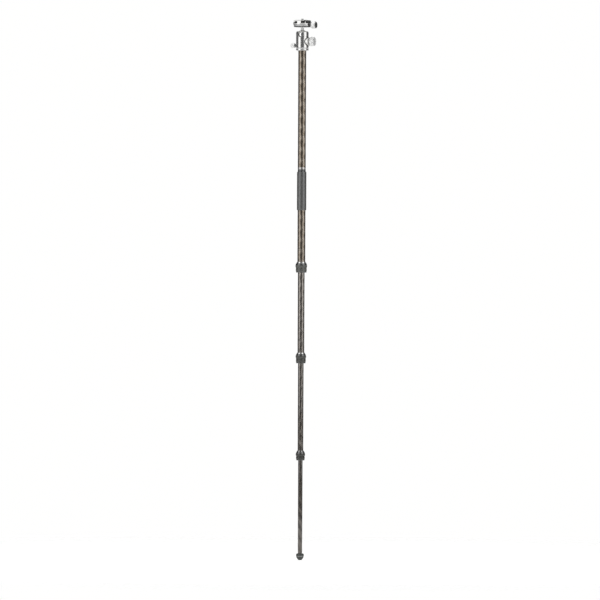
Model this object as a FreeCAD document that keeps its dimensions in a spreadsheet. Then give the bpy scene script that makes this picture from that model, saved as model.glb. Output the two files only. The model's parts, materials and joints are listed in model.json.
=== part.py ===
import FreeCAD, Part
import math
import os
from types import SimpleNamespace

import Sketcher

# Monopod: one carbon leg of four telescoping sections, a column screwed on top of it,
# and a ball head with a screw clamp and a quick-release plate. Millimetres, +Z up.
# The origin is the foot's tip on the pole's axis, and +X runs along the head's knobs.
# The leg stands at its full length, and the ball head is locked upright.

DRIVING_SIZES = {
    # Edges broken on turned metal, and the lead-in on the end of a screw
    "edge_break": 0.4,
    "screw_tip": 0.6,
    # Leg sections: what shows of each tube, from the foot up
    "foot_height": 18.0,
    "foot_radius": 11.0,
    "foot_tip_radius": 3.5,
    "foot_shoulder_radius": 8.4,
    "foot_shoulder_height": 4.2,
    "foot_belly_radius": 9.9,
    "foot_belly_height": 7.6,
    "foot_crown": 1.8,
    "foot_top_height": 3.6,
    "foot_top_edge": 1.6,
    "foot_plug_length": 18.0,
    "foot_stud_length": 10.8,
    "tube_4_shown": 256.0,
    "tube_3_shown": 240.0,
    "tube_2_shown": 220.0,
    "tube_1_shown": 142.0,
    "tube_1_radius": 11.0,
    "tube_step": 1.6,
    "tube_wall": 1.1,
    "tube_overlap": 15.0,
    # Keyed guide shells on the top of each inner tube
    "guide_length": 28.0,
    "guide_slit": 1.2,
    "key_width": 1.8,
    "key_height": 0.36,
    "key_slack": 0.1,
    # Twist locks
    "lock_1_height": 29.4,
    "lock_2_height": 29.4,
    "lock_3_height": 27.0,
    "lock_shoulder": 8.2,
    "lock_top_rise": 1.6,
    "lock_brow": 0.8,
    "lock_shoulder_rise": 4.8,
    "thread_rise": 1.9,
    "tube_seat": 12.0,
    "seat_lip": 0.4,
    "cone_height": 4.0,
    "cone_rise": 1.0,
    "collet_flange": 2.6,
    "collet_slit": 1.4,
    "collar_floor": 4.8,
    "collar_lip": 2.0,
    "collar_rise": 3.0,
    "collar_skirt_rise": 3.5,
    "rubber_crown_rise": 5.1,
    "rubber_crown_height": 3.0,
    "rubber_hip_rise": 4.2,
    "rubber_hip_height": 6.0,
    "rubber_hip": 1.5,
    "rubber_waist_radius": 10.7,
    "rubber_edge": 0.6,
    # Hand grip
    "grip_length": 106.0,
    "grip_thickness": 2.05,
    "grip_rounding": 2.4,
    "grip_end_inset": 1.1,
    # Joint between the leg and the column
    "joint_ring_height": 5.5,
    "joint_washer_height": 1.0,
    "joint_plug_length": 11.0,
    "joint_hole_depth": 13.0,
    "stud_radius": 4.7,
    "stud_slack": 0.06,
    "ring_groove_depth": 0.5,
    # Column
    "column_shown": 320.0,
    "column_radius": 11.1,
    "column_wall": 1.5,
    "column_plug_length": 20.0,
    "plate_height": 5.4,
    "plate_radius": 17.5,
    "plate_cone_height": 1.4,
    "plate_edge": 0.7,
    # Panning base
    "pan_ring_height": 2.5,
    "pan_ring_radius": 17.2,
    "spigot_radius": 9.5,
    "spigot_groove": 0.9,
    "spigot_head": 0.6,
    "clip_thickness": 1.0,
    "clip_overhang": 1.6,
    "clip_slit": 5.0,
    "pan_washer_thickness": 0.5,
    "pan_washer_width": 4.0,
    # Ball housing
    "running_gap": 0.1,
    "housing_radius": 17.5,
    "housing_height": 45.8,
    "housing_shoulder": 4.4,
    "housing_foot_edge": 0.8,
    "chamber_radius": 15.2,
    "floor_thickness": 11.5,
    "mouth_wall": 2.7,
    "boss_radius": 11.5,
    "boss_reach": 20.5,
    "notch_half_width": 5.6,
    "notch_depth": 6.0,
    # Ball and stem
    "ball_radius": 14.0,
    "ball_height": 35.8,
    "stem_radius": 4.1,
    "stem_length": 23.5,
    "neck_fillet": 2.0,
    "neck_flare": 0.6,
    "seat_gap": 0.12,
    "upper_seat_height": 4.8,
    "upper_seat_fit": 0.05,
    # Ball lock
    "ball_lock_height": 17.3,
    "plunger_radius": 3.2,
    "plunger_nose": 7.6,
    "wedge_angle": 14.0,
    "wedge_rise": 1.0,
    "cup_bore": 7.0,
    "cup_seat_radius": 11.5,
    "lock_screw_radius": 4.0,
    "lock_knob_radius": 12.8,
    "lock_knob_length": 15.4,
    "lock_knob_inner_radius": 8.6,
    "lock_knob_flare": 3.8,
    "lock_knob_shoulder": 1.3,
    "lock_knob_edge": 1.6,
    "lock_knob_rim": 4.8,
    "lock_knob_recess": 0.8,
    "lock_knob_core": 9.2,
    "lock_knob_flutes": 8,
    "flute_radius": 3.4,
    "flute_depth": 1.5,
    # Pan lock
    "pan_lock_height": 6.7,
    "brake_pin_length": 3.0,
    "brake_pin_radius": 2.7,
    "pan_screw_radius": 2.8,
    "pan_screw_neck_radius": 4.4,
    "pan_screw_neck": 3.6,
    "pan_knob_radius": 6.6,
    "pan_knob_length": 11.3,
    "pan_knob_edge": 1.0,
    "pan_knob_core": 6.8,
    # Clamp
    "clamp_height": 15.0,
    "clamp_radius": 25.6,
    "clamp_rim_radius": 22.8,
    "clamp_rim_height": 9.0,
    "clamp_rim_band": 2.0,
    "clamp_top_radius": 23.6,
    "clamp_floor": 9.0,
    "clamp_split": 11.6,
    "jaw_gap": 0.4,
    "jaw_face": 21.3,
    "clamp_screw_height": 5.4,
    "clamp_screw_radius": 3.0,
    "clamp_screw_end": 5.3,
    "clamp_knob_length": 17.2,
    "clamp_knob_radius": 9.7,
    "clamp_knob_neck_radius": 5.0,
    "clamp_knob_collar": 1.2,
    "clamp_knob_cone": 5.8,
    "clamp_knob_core": 12.0,
    "clamp_knob_flutes": 16,
    "clamp_knob_flute_radius": 1.5,
    "clamp_knob_flute_depth": 0.6,
    "knob_cap_thickness": 2.0,
    "knob_cap_radius": 8.8,
    "knob_cap_edge": 0.8,
    "knob_washer_thickness": 0.8,
    "guide_pin_radius": 1.5,
    "guide_pin_spacing": 28.0,
    "guide_pin_length": 13.0,
    "spring_wire": 0.45,
    "spring_radius": 2.1,
    "spring_length": 6.4,
    "clamp_bolt_head_radius": 4.2,
    "clamp_bolt_head_height": 4.0,
    "clamp_bolt_radius": 2.5,
    "clamp_bolt_length": 12.0,
    "clamp_bolt_socket": 2.0,
    "stem_socket": 2.0,
    # Quick-release plate
    "dovetail_half_width": 19.0,
    "dovetail_foot": 0.8,
    "dovetail_depth": 2.9,
    "dovetail_slack": 0.15,
    "qr_plate_length": 38.0,
    "qr_plate_overhang": 0.8,
    "qr_plate_height": 8.6,
    "pad_thickness": 1.2,
    "pad_inset": 1.2,
    "pad_ribs": 9,
    "pad_rib_depth": 0.5,
    "pad_hole_slack": 1.0,
    "camera_screw_radius": 3.175,
    "camera_screw_neck_radius": 2.5,
    "camera_screw_stand": 4.5,
    "camera_screw_head_radius": 6.6,
    "camera_screw_head_height": 2.6,
    "camera_screw_slot": 1.6,
}

doc = FreeCAD.newDocument("Monopod")


class Size:
    """A size held as its number and as the formula that binds it to the sheet."""

    def __init__(self, value, formula=None):
        self.value = float(value)
        self.formula = formula if formula else f"{self.value:.6g}"
        self.bound = formula is not None

    def combine(self, other, symbol, value, flipped=False):
        other = as_size(other)
        first, second = (other, self) if flipped else (self, other)
        return Size(value(first.value, second.value), f"({first.formula} {symbol} {second.formula})")

    def __add__(self, other):
        return self.combine(other, "+", lambda a, b: a + b)

    def __radd__(self, other):
        return self.combine(other, "+", lambda a, b: a + b, True)

    def __sub__(self, other):
        return self.combine(other, "-", lambda a, b: a - b)

    def __rsub__(self, other):
        return self.combine(other, "-", lambda a, b: a - b, True)

    def __mul__(self, other):
        return self.combine(other, "*", lambda a, b: a * b)

    def __rmul__(self, other):
        return self.combine(other, "*", lambda a, b: a * b, True)

    def __truediv__(self, other):
        return self.combine(other, "/", lambda a, b: a / b)

    def __neg__(self):
        return 0 - self


def as_size(amount):
    """Takes a plain number or a Size and gives a Size."""
    return amount if isinstance(amount, Size) else Size(amount)


def root(amount):
    """The square root of a Size."""
    return Size(math.sqrt(amount.value), f"sqrt({amount.formula})")


def tangent(angle):
    """The tangent of a Size in degrees."""
    return Size(math.tan(math.radians(angle.value)), f"tan({angle.formula})")


def across(radius, offset):
    """How far from its centre a circle is cut by a line that passes at offset."""
    return root(radius * radius - offset * offset)


def row_cells(index):
    """The sheet's cells for a size's name and its value, counted from 0."""
    return f"A{index + 1}", f"B{index + 1}"


def fill_sheet():
    """Writes the driving sizes into the sheet and gives them as named Sizes."""
    sheet = doc.addObject("Spreadsheet::Sheet", "Sizes")
    for index, (name, value) in enumerate(DRIVING_SIZES.items()):
        label_cell, value_cell = row_cells(index)
        sheet.set(label_cell, name)
        sheet.set(value_cell, str(value))
        sheet.setAlias(value_cell, name)
    doc.recompute()
    return SimpleNamespace(**{name: Size(value, f"Sizes.{name}") for name, value in DRIVING_SIZES.items()})


S = fill_sheet()


class Arc:
    """A rounded edge of an outline, bulging away from a point near its centre."""

    def __init__(self, radius, near_centre):
        self.radius = as_size(radius)
        self.near_centre = near_centre

    def edge(self, start, end):
        """The arc from start to end, of less than a half circle."""
        chord = end - start
        middle = (start + end) * 0.5
        half = chord.Length / 2
        rise = math.sqrt(max(self.radius.value ** 2 - half ** 2, 0.0))
        side = FreeCAD.Vector(-chord.y, chord.x, 0).normalize()
        hint = FreeCAD.Vector(as_size(self.near_centre[0]).value, as_size(self.near_centre[1]).value, 0)
        centre = min((middle + side * rise, middle - side * rise), key=lambda spot: (spot - hint).Length)
        crown = centre + (middle - centre).normalize() * self.radius.value
        return Part.Arc(start, crown, end)


def new_piece(label, x=0, y=0, z=0):
    """A body in its own frame, placed by x, y and z in the part's frame."""
    body = doc.addObject("PartDesign::Body", label)
    body.Label = label
    spot = [as_size(x), as_size(y), as_size(z)]
    body.Placement = FreeCAD.Placement(FreeCAD.Vector(*(s.value for s in spot)), FreeCAD.Rotation())
    for letter, amount in zip("xyz", spot):
        if amount.bound:
            body.setExpression(f"Placement.Base.{letter}", amount.formula)
    return body


def new_sketch(body, plane, offset=0):
    """A sketch on the body's own XY, XZ or YZ plane, moved along its normal by offset."""
    sketch = body.newObject("Sketcher::SketchObject", f"{body.Name}_sketch")
    sketch.AttachmentSupport = [(o, "") for o in body.Origin.OriginFeatures if o.Role == f"{plane}_Plane"]
    sketch.MapMode = "FlatFace"
    offset = as_size(offset)
    sketch.AttachmentOffset = FreeCAD.Placement(FreeCAD.Vector(0, 0, offset.value), FreeCAD.Rotation())
    if offset.bound:
        sketch.setExpression("AttachmentOffset.Base.z", offset.formula)
    return sketch


def constrain(sketch, kind, *where):
    """Adds a constraint whose last argument may be a Size, bound to the sheet."""
    if not isinstance(where[-1], Size):
        return sketch.addConstraint(Sketcher.Constraint(kind, *where))
    amount = where[-1]
    index = sketch.addConstraint(Sketcher.Constraint(kind, *where[:-1], amount.value))
    if amount.bound:
        sketch.setExpression(f"Constraints[{index}]", amount.formula)
    return index


def pin_point(sketch, geometry, point, x, y):
    """Ties one point of the sketch to x and y."""
    for amount, kind, axis in ((as_size(x), "DistanceX", -2), (as_size(y), "DistanceY", -1)):
        if amount.bound or amount.value != 0:
            constrain(sketch, kind, -1, 1, geometry, point, amount)
        else:
            constrain(sketch, "PointOnObject", geometry, point, axis)


def draw_outline(sketch, steps):
    """A closed outline: (x, y) corners, with an Arc between two of them where the edge is round."""
    corners = [step for step in steps if not isinstance(step, Arc)]
    arcs = {}
    for index, step in enumerate(steps):
        if isinstance(step, Arc):
            arcs[sum(not isinstance(s, Arc) for s in steps[:index]) - 1] = step
    spots = [FreeCAD.Vector(as_size(x).value, as_size(y).value, 0) for x, y in corners]
    ends = []
    for index, start in enumerate(spots):
        end = spots[(index + 1) % len(spots)]
        arc = arcs.get(index)
        edge = arc.edge(start, end) if arc else Part.LineSegment(start, end)
        geometry = sketch.addGeometry(edge, False)
        forward = (sketch.getPoint(geometry, 1) - start).Length < 1e-6
        ends.append((geometry, 1 if forward else 2, 2 if forward else 1))
        if arc:
            constrain(sketch, "Radius", geometry, arc.radius)
    for index, (geometry, first, _) in enumerate(ends):
        previous, _, last = ends[index - 1]
        constrain(sketch, "Coincident", previous, last, geometry, first)
        pin_point(sketch, geometry, first, *corners[index])


def draw_circle(sketch, x, y, radius):
    """A circle at x, y."""
    x, y, radius = as_size(x), as_size(y), as_size(radius)
    circle = Part.Circle(FreeCAD.Vector(x.value, y.value, 0), FreeCAD.Vector(0, 0, 1), radius.value)
    geometry = sketch.addGeometry(circle, False)
    constrain(sketch, "Radius", geometry, radius)
    if not (x.bound or y.bound or x.value or y.value):
        constrain(sketch, "Coincident", geometry, 3, -1, 1)
    else:
        pin_point(sketch, geometry, 3, x, y)


def box_steps(x_low, x_high, y_low, y_high):
    """The corners of a rectangle."""
    return [(x_low, y_low), (x_high, y_low), (x_high, y_high), (x_low, y_high)]


def turn_profile(body, steps, axis="V_Axis", cut=False):
    """Revolves an outline in the XZ plane about the body's Z axis, or its X axis."""
    sketch = new_sketch(body, "XZ")
    draw_outline(sketch, steps)
    kind = "PartDesign::Groove" if cut else "PartDesign::Revolution"
    feature = body.newObject(kind, f"{body.Name}_turned")
    feature.Profile = sketch
    feature.ReferenceAxis = (sketch, [axis])
    feature.Angle = 360
    return feature


def extrude(body, sketch, length, cut=False, both_ways=False, against=False):
    """Pads or pockets a sketch along its normal, or against it."""
    feature = body.newObject("PartDesign::Pocket" if cut else "PartDesign::Pad", f"{body.Name}_run")
    feature.Profile = sketch
    length = as_size(length)
    feature.Length = length.value
    if length.bound:
        feature.setExpression("Length", length.formula)
    if both_ways:
        feature.SideType = "Symmetric"
    feature.Reversed = against != cut
    return feature


def repeat_round(body, feature, axis, count):
    """Repeats a feature evenly about one of the body's own axes."""
    pattern = body.newObject("PartDesign::PolarPattern", f"{body.Name}_round")
    pattern.Originals = [feature]
    role = f"{axis}_Axis"
    pattern.Axis = ([o for o in body.Origin.OriginFeatures if o.Role == role][0], [""])
    pattern.Angle = 360
    count = as_size(count)
    pattern.Occurrences = int(count.value)
    if count.bound:
        pattern.setExpression("Occurrences", count.formula)
    body.Tip = pattern
    return pattern


# How far a cut runs past the solid, as a share of the solid's own reach
PAST = 1.2

# Heights up the pole

LOCK_HEIGHT = {1: S.lock_1_height, 2: S.lock_2_height, 3: S.lock_3_height}
TUBE_SHOWN = {1: S.tube_1_shown, 2: S.tube_2_shown, 3: S.tube_3_shown, 4: S.tube_4_shown}

LOCK_BASE = {3: S.foot_height + S.tube_4_shown}
for number in (2, 1):
    LOCK_BASE[number] = LOCK_BASE[number + 1] + LOCK_HEIGHT[number + 1] + TUBE_SHOWN[number + 1]
LOCK_TOP = {number: LOCK_BASE[number] + LOCK_HEIGHT[number] for number in LOCK_HEIGHT}

GRIP_BASE = LOCK_TOP[1] + S.tube_1_shown
GRIP_TOP = GRIP_BASE + S.grip_length
JOINT_TOP = GRIP_TOP + 2 * S.joint_ring_height + S.joint_washer_height
COLUMN_TOP = JOINT_TOP + S.column_shown
HEAD_BASE = COLUMN_TOP + S.plate_height
HOUSING_BASE = HEAD_BASE + S.pan_ring_height + S.pan_washer_thickness
BALL_CENTRE = HOUSING_BASE + S.ball_height
BALL_LOCK_AXIS = HOUSING_BASE + S.ball_lock_height
PAN_LOCK_AXIS = HOUSING_BASE + S.pan_lock_height
CLAMP_BASE = BALL_CENTRE + S.stem_length - S.stem_socket
CLAMP_SCREW_AXIS = CLAMP_BASE + S.clamp_screw_height
CHANNEL_FLOOR = CLAMP_BASE + S.clamp_floor


def tube_radius(number):
    """The outer radius of a leg tube, 1 the thickest and 4 the thinnest."""
    return S.tube_1_radius - (number - 1) * S.tube_step


def tube_ends(number):
    """The lowest and highest point of a leg tube at the leg's full length."""
    low = S.foot_height if number == 4 else LOCK_BASE[number] + S.tube_seat
    high = GRIP_TOP if number == 1 else LOCK_TOP[number - 1] + S.tube_overlap
    return low, high


def make_foot():
    """The rubber foot, and the threaded plug bonded into the lowest tube that carries it."""
    bore = tube_radius(4) - S.tube_wall
    crown = S.foot_height - S.foot_top_height
    pad = new_piece("foot_rubber")
    turn_profile(pad, [
        (0, 0),
        (S.foot_tip_radius, 0),
        (S.foot_shoulder_radius, S.foot_shoulder_height),
        (S.foot_belly_radius, S.foot_belly_height),
        (S.foot_radius, crown - S.foot_crown),
        (S.foot_radius, crown),
        (S.foot_radius - S.foot_top_edge, S.foot_height),
        (S.stud_radius, S.foot_height),
        (S.stud_radius, S.foot_height - S.foot_stud_length),
        (0, S.foot_height - S.foot_stud_length),
    ])
    plug = new_piece("foot_plug", z=S.foot_height)
    turn_profile(plug, [
        (0, -S.foot_stud_length),
        (S.stud_radius, -S.foot_stud_length),
        (S.stud_radius, 0),
        (bore, 0),
        (bore, S.foot_plug_length),
        (0, S.foot_plug_length),
    ])


def make_tube(number):
    """A carbon leg tube. All but the thinnest have two keyways along the bore."""
    radius = tube_radius(number)
    bore = radius - S.tube_wall
    low, high = tube_ends(number)
    tube = new_piece(f"leg_tube_{number}", z=low)
    turn_profile(tube, box_steps(bore, radius, 0, high - low))
    if number < 4:
        keyway = new_sketch(tube, "XY")
        half = S.key_width / 2 + S.key_slack
        reach = tube_radius(number + 1) + guide_wall() + S.key_height + S.key_slack
        draw_outline(keyway, box_steps(-half, half, -reach, reach))
        extrude(tube, keyway, high - low, cut=True)


def guide_wall():
    """The thickness of a guide shell, which runs in the bore of the tube outside it."""
    return S.tube_step - S.tube_wall - S.running_gap


def make_guides(number):
    """Two half shells with keys, clipped round the top of an inner tube."""
    radius = tube_radius(number)
    outer = radius + guide_wall()
    high = tube_ends(number)[1]
    shells = new_piece(f"tube_{number}_guides", z=high - S.guide_length)
    turn_profile(shells, box_steps(radius, outer, 0, S.guide_length))
    keys = new_sketch(shells, "XY")
    inside = radius + guide_wall() / 2
    for side in (1, -1):
        draw_outline(keys, box_steps(
            -S.key_width / 2, S.key_width / 2,
            *((inside, outer + S.key_height) if side > 0 else (-outer - S.key_height, -inside)),
        ))
    extrude(shells, keys, S.guide_length)
    slit = new_sketch(shells, "XY")
    draw_outline(slit, box_steps(-outer * PAST, outer * PAST, -S.guide_slit / 2, S.guide_slit / 2))
    extrude(shells, slit, S.guide_length, cut=True)


def make_lock(number):
    """A twist lock: threaded fitting on the outer tube, split collet, collar and rubber ring."""
    outer_tube = tube_radius(number)
    inner_tube = tube_radius(number + 1)
    base = LOCK_BASE[number]
    height = LOCK_HEIGHT[number]
    shoulder = height - S.lock_shoulder
    collar_top = shoulder - 2 * S.running_gap
    cone_base = S.tube_seat - S.cone_height

    fitting = new_piece(f"lock_{number}_fitting", z=base)
    turn_profile(fitting, [
        (outer_tube + S.cone_rise, cone_base),
        (outer_tube + S.thread_rise, cone_base),
        (outer_tube + S.thread_rise, shoulder),
        (outer_tube + S.lock_shoulder_rise, shoulder),
        (outer_tube + S.lock_shoulder_rise, shoulder + S.lock_brow),
        (outer_tube + S.lock_top_rise, height - S.edge_break),
        (outer_tube + S.lock_top_rise - S.edge_break, height),
        (outer_tube, height),
        (outer_tube, S.tube_seat),
        (outer_tube - S.seat_lip, S.tube_seat),
    ])

    collet = new_piece(f"lock_{number}_collet", z=base)
    collet_low = S.collar_floor + S.running_gap
    turn_profile(collet, [
        (inner_tube + S.running_gap / 2, collet_low),
        (outer_tube + S.thread_rise - S.running_gap, collet_low),
        (outer_tube + S.thread_rise - S.running_gap, collet_low + S.collet_flange),
        (outer_tube + S.cone_rise - S.running_gap, collet_low + S.collet_flange),
        (outer_tube + S.cone_rise - S.running_gap, cone_base),
        (outer_tube - S.seat_lip - S.running_gap, S.tube_seat),
        (inner_tube + S.running_gap / 2, S.tube_seat),
    ])
    slit = new_sketch(collet, "XY")
    half_slit = S.collet_slit / 2
    draw_outline(slit, box_steps(0, PAST * (outer_tube + S.thread_rise), -half_slit, half_slit))
    extrude(collet, slit, PAST * S.tube_seat, cut=True)

    collar = new_piece(f"lock_{number}_collar", z=base)
    turn_profile(collar, [
        (inner_tube + 4 * S.running_gap, 0),
        (outer_tube + S.collar_skirt_rise - S.edge_break, 0),
        (outer_tube + S.collar_skirt_rise, S.edge_break),
        (outer_tube + S.collar_skirt_rise, S.collar_lip),
        (outer_tube + S.collar_rise, S.collar_lip),
        (outer_tube + S.collar_rise, collar_top - S.rubber_edge),
        (outer_tube + S.lock_shoulder_rise, collar_top - S.rubber_edge),
        (outer_tube + S.lock_shoulder_rise, collar_top),
        (outer_tube + S.thread_rise + S.running_gap, collar_top),
        (outer_tube + S.thread_rise + S.running_gap, S.collar_floor),
        (inner_tube + 4 * S.running_gap, S.collar_floor),
    ])

    rubber = new_piece(f"lock_{number}_rubber", z=base)
    crown_top = collar_top - S.rubber_edge
    crown_low = crown_top - S.rubber_crown_height
    turn_profile(rubber, [
        (outer_tube + S.collar_rise, S.collar_lip),
        (outer_tube + S.collar_skirt_rise, S.collar_lip),
        (outer_tube + S.rubber_hip_rise, S.rubber_hip_height),
        (outer_tube + S.rubber_hip_rise, S.rubber_hip_height + S.rubber_hip),
        Arc(S.rubber_waist_radius, (outer_tube + 2 * S.rubber_waist_radius, height / 2)),
        (outer_tube + S.rubber_crown_rise, crown_low),
        (outer_tube + S.rubber_crown_rise, crown_top),
        (outer_tube + S.collar_rise, crown_top),
    ])


def make_grip():
    """The foam hand grip round the thickest tube."""
    grip = new_piece("foam_grip", z=GRIP_BASE)
    outer = S.tube_1_radius + S.grip_thickness
    edge = S.grip_rounding
    turn_profile(grip, [
        (S.tube_1_radius, 0),
        (outer - S.grip_end_inset, 0),
        (outer, edge),
        (outer, S.grip_length - edge),
        (outer - S.grip_end_inset, S.grip_length),
        (S.tube_1_radius, S.grip_length),
    ])


def ring_profile(body_bore, ring_radius, plug_low, plug_high, ring_low, ring_high):
    """The outer side of a bonded bush: a plug in a tube's bore, and a ring with a fine groove."""
    groove = S.ring_groove_depth
    middle = (ring_low + ring_high) / 2
    ring = [
        (ring_radius, ring_low),
        (ring_radius, middle - groove),
        (ring_radius - groove, middle),
        (ring_radius, middle + groove),
        (ring_radius, ring_high),
    ]
    if plug_high.value > ring_high.value:
        return ring + [(body_bore, ring_high), (body_bore, plug_high)]
    return [(body_bore, plug_low), (body_bore, ring_low)] + ring


def make_joint():
    """The screwed joint between leg and column: bush with a hole, washer, bush with a stud."""
    leg_bore = S.tube_1_radius - S.tube_wall
    column_bore = S.column_radius - S.column_wall
    ring = S.joint_ring_height
    hole = S.stud_radius + S.stud_slack

    bush = new_piece("leg_top_bush", z=GRIP_TOP)
    turn_profile(bush, [
        (0, -S.joint_plug_length),
        *ring_profile(leg_bore, S.tube_1_radius, -S.joint_plug_length, as_size(0), 0, ring),
        (hole, ring),
        (hole, ring - S.joint_hole_depth),
        (0, ring - S.joint_hole_depth),
    ])

    washer = new_piece("joint_washer", z=GRIP_TOP + ring)
    turn_profile(washer, box_steps(hole, S.tube_1_radius - S.ring_groove_depth, 0, S.joint_washer_height))

    end_bush = new_piece("column_end_bush", z=JOINT_TOP - ring)
    stud_low = S.stud_slack + S.ring_groove_depth - S.joint_hole_depth
    plug_top = ring + S.joint_plug_length
    turn_profile(end_bush, [
        (0, stud_low),
        (S.stud_radius, stud_low),
        (S.stud_radius, 0),
        *ring_profile(column_bore, S.column_radius, as_size(0), plug_top, as_size(0), ring),
        (0, plug_top),
    ])


def make_column():
    """The carbon column, its top plate and the stud that holds the head."""
    bore = S.column_radius - S.column_wall
    tube = new_piece("column_tube", z=JOINT_TOP)
    turn_profile(tube, box_steps(bore, S.column_radius, 0, S.column_shown))

    plate = new_piece("column_plate", z=COLUMN_TOP)
    turn_profile(plate, [
        (S.stud_radius, -S.column_plug_length),
        (bore, -S.column_plug_length),
        (bore, 0),
        (S.column_radius + S.edge_break, 0),
        (S.plate_radius - S.plate_edge, S.plate_cone_height),
        (S.plate_radius, S.plate_cone_height + 2 * S.plate_edge),
        (S.plate_radius, S.plate_height - S.edge_break),
        (S.plate_radius - S.edge_break, S.plate_height),
        (S.stud_radius, S.plate_height),
    ])

    stud = new_piece("head_stud", z=COLUMN_TOP)
    turn_profile(stud, box_steps(0, S.stud_radius, 0, S.plate_height + stud_reach()))


def stud_reach():
    """How far the head's stud stands up into the panning base."""
    return S.pan_ring_height + S.floor_thickness / 2


def make_pan_base():
    """The panning base: ring and spigot, thrust washer, housing floor and retaining clip."""
    top = S.pan_ring_height + S.pan_washer_thickness + S.floor_thickness
    clip_low = top + S.running_gap
    clip_high = clip_low + S.clip_thickness
    neck = S.spigot_radius - S.spigot_groove

    base = new_piece("pan_base", z=HEAD_BASE)
    hole = S.stud_radius + S.stud_slack
    turn_profile(base, [
        (hole, 0),
        (S.pan_ring_radius - S.edge_break, 0),
        (S.pan_ring_radius, S.edge_break),
        (S.pan_ring_radius, S.pan_ring_height - S.edge_break),
        (S.pan_ring_radius - S.edge_break, S.pan_ring_height),
        (S.spigot_radius, S.pan_ring_height),
        (S.spigot_radius, clip_low - S.running_gap / 2),
        (neck, clip_low - S.running_gap / 2),
        (neck, clip_high),
        (S.spigot_radius, clip_high),
        (S.spigot_radius, clip_high + S.spigot_head),
        (0, clip_high + S.spigot_head),
        (0, stud_reach() + S.edge_break),
        (hole, stud_reach() + S.edge_break),
    ])

    washer = new_piece("pan_washer", z=HEAD_BASE + S.pan_ring_height)
    washer_inner = S.spigot_radius + 2 * S.running_gap
    washer_outer = washer_inner + S.pan_washer_width
    turn_profile(washer, box_steps(washer_inner, washer_outer, 0, S.pan_washer_thickness))

    floor = new_piece("housing_floor", z=HOUSING_BASE)
    bearing = S.spigot_radius + S.running_gap / 2
    turn_profile(floor, box_steps(bearing, S.chamber_radius, 0, S.floor_thickness))
    drill = new_sketch(floor, "YZ")
    draw_circle(drill, 0, S.pan_lock_height, S.pan_screw_radius + S.running_gap / 2)
    extrude(floor, drill, S.housing_radius, cut=True, against=True)

    clip = new_piece("retaining_clip", z=HEAD_BASE + clip_low)
    turn_profile(clip, box_steps(neck, S.spigot_radius + S.clip_overhang, 0, S.clip_thickness))
    slit = new_sketch(clip, "XY")
    draw_outline(slit, box_steps(0, S.housing_radius, -S.clip_slit / 2, S.clip_slit / 2))
    extrude(clip, slit, S.clip_thickness, cut=True)


def make_housing():
    """The ball housing: shouldered barrel, boss for the lock screw, drop notch and open chamber."""
    radius = S.housing_radius
    top = S.housing_height
    rise = top - S.ball_height
    lip = S.mouth_wall
    clear = S.ball_radius + 2 * S.seat_gap
    body = new_piece("ball_housing", z=HOUSING_BASE)
    turn_profile(body, [
        (0, 0),
        (radius - S.housing_foot_edge, 0),
        (radius, S.housing_foot_edge),
        (radius, top - S.housing_shoulder),
        Arc(S.housing_shoulder, (radius - S.housing_shoulder, top - S.housing_shoulder)),
        (radius - S.housing_shoulder, top),
        (0, top),
    ])
    boss = new_sketch(body, "YZ")
    draw_circle(boss, 0, S.ball_lock_height, S.boss_radius)
    extrude(body, boss, S.boss_reach)
    turn_profile(body, [
        (0, 0),
        (S.chamber_radius, 0),
        (S.chamber_radius, top - lip),
        (across(clear, rise - lip), top - lip),
        (across(clear, rise), top),
        (0, top),
    ], cut=True)
    bore = new_sketch(body, "YZ")
    draw_circle(bore, 0, S.ball_lock_height, S.lock_screw_radius + S.running_gap / 2)
    extrude(body, bore, PAST * S.boss_reach, cut=True)
    drill = new_sketch(body, "YZ")
    draw_circle(drill, 0, S.pan_lock_height, S.pan_screw_radius + S.running_gap / 2)
    extrude(body, drill, PAST * radius, cut=True, against=True)
    cut_notch(body, top, PAST * radius)


def cut_notch(body, top, depth):
    """Cuts the drop notch for the stem out of the front, down to below the ball's centre."""
    half = S.notch_half_width
    low = S.ball_height - S.notch_depth + half
    notch = new_sketch(body, "XZ")
    draw_outline(notch, [
        (half, low),
        (half, PAST * top),
        (-half, PAST * top),
        (-half, low),
        Arc(half, (0, low)),
        (0, low - half),
        Arc(half, (0, low)),
    ])
    extrude(body, notch, depth, cut=True)


def make_ball():
    """The ball with its stem, drilled for the clamp's bolt."""
    ball = new_piece("ball_and_stem", z=BALL_CENTRE)
    neck = S.stem_radius + S.neck_flare
    bolt = S.clamp_bolt_radius + S.running_gap / 2
    bolt_end = S.stem_length - S.stem_socket + bolt_seat() - S.clamp_bolt_length - S.screw_tip
    turn_profile(ball, [
        (0, -S.ball_radius),
        Arc(S.ball_radius, (0, 0)),
        (S.ball_radius, 0),
        Arc(S.ball_radius, (0, 0)),
        (neck, across(S.ball_radius, neck)),
        (S.stem_radius, across(S.ball_radius, neck) + S.neck_fillet),
        (S.stem_radius, S.stem_length),
        (bolt, S.stem_length),
        (bolt, bolt_end),
        (0, bolt_end),
    ])


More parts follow.
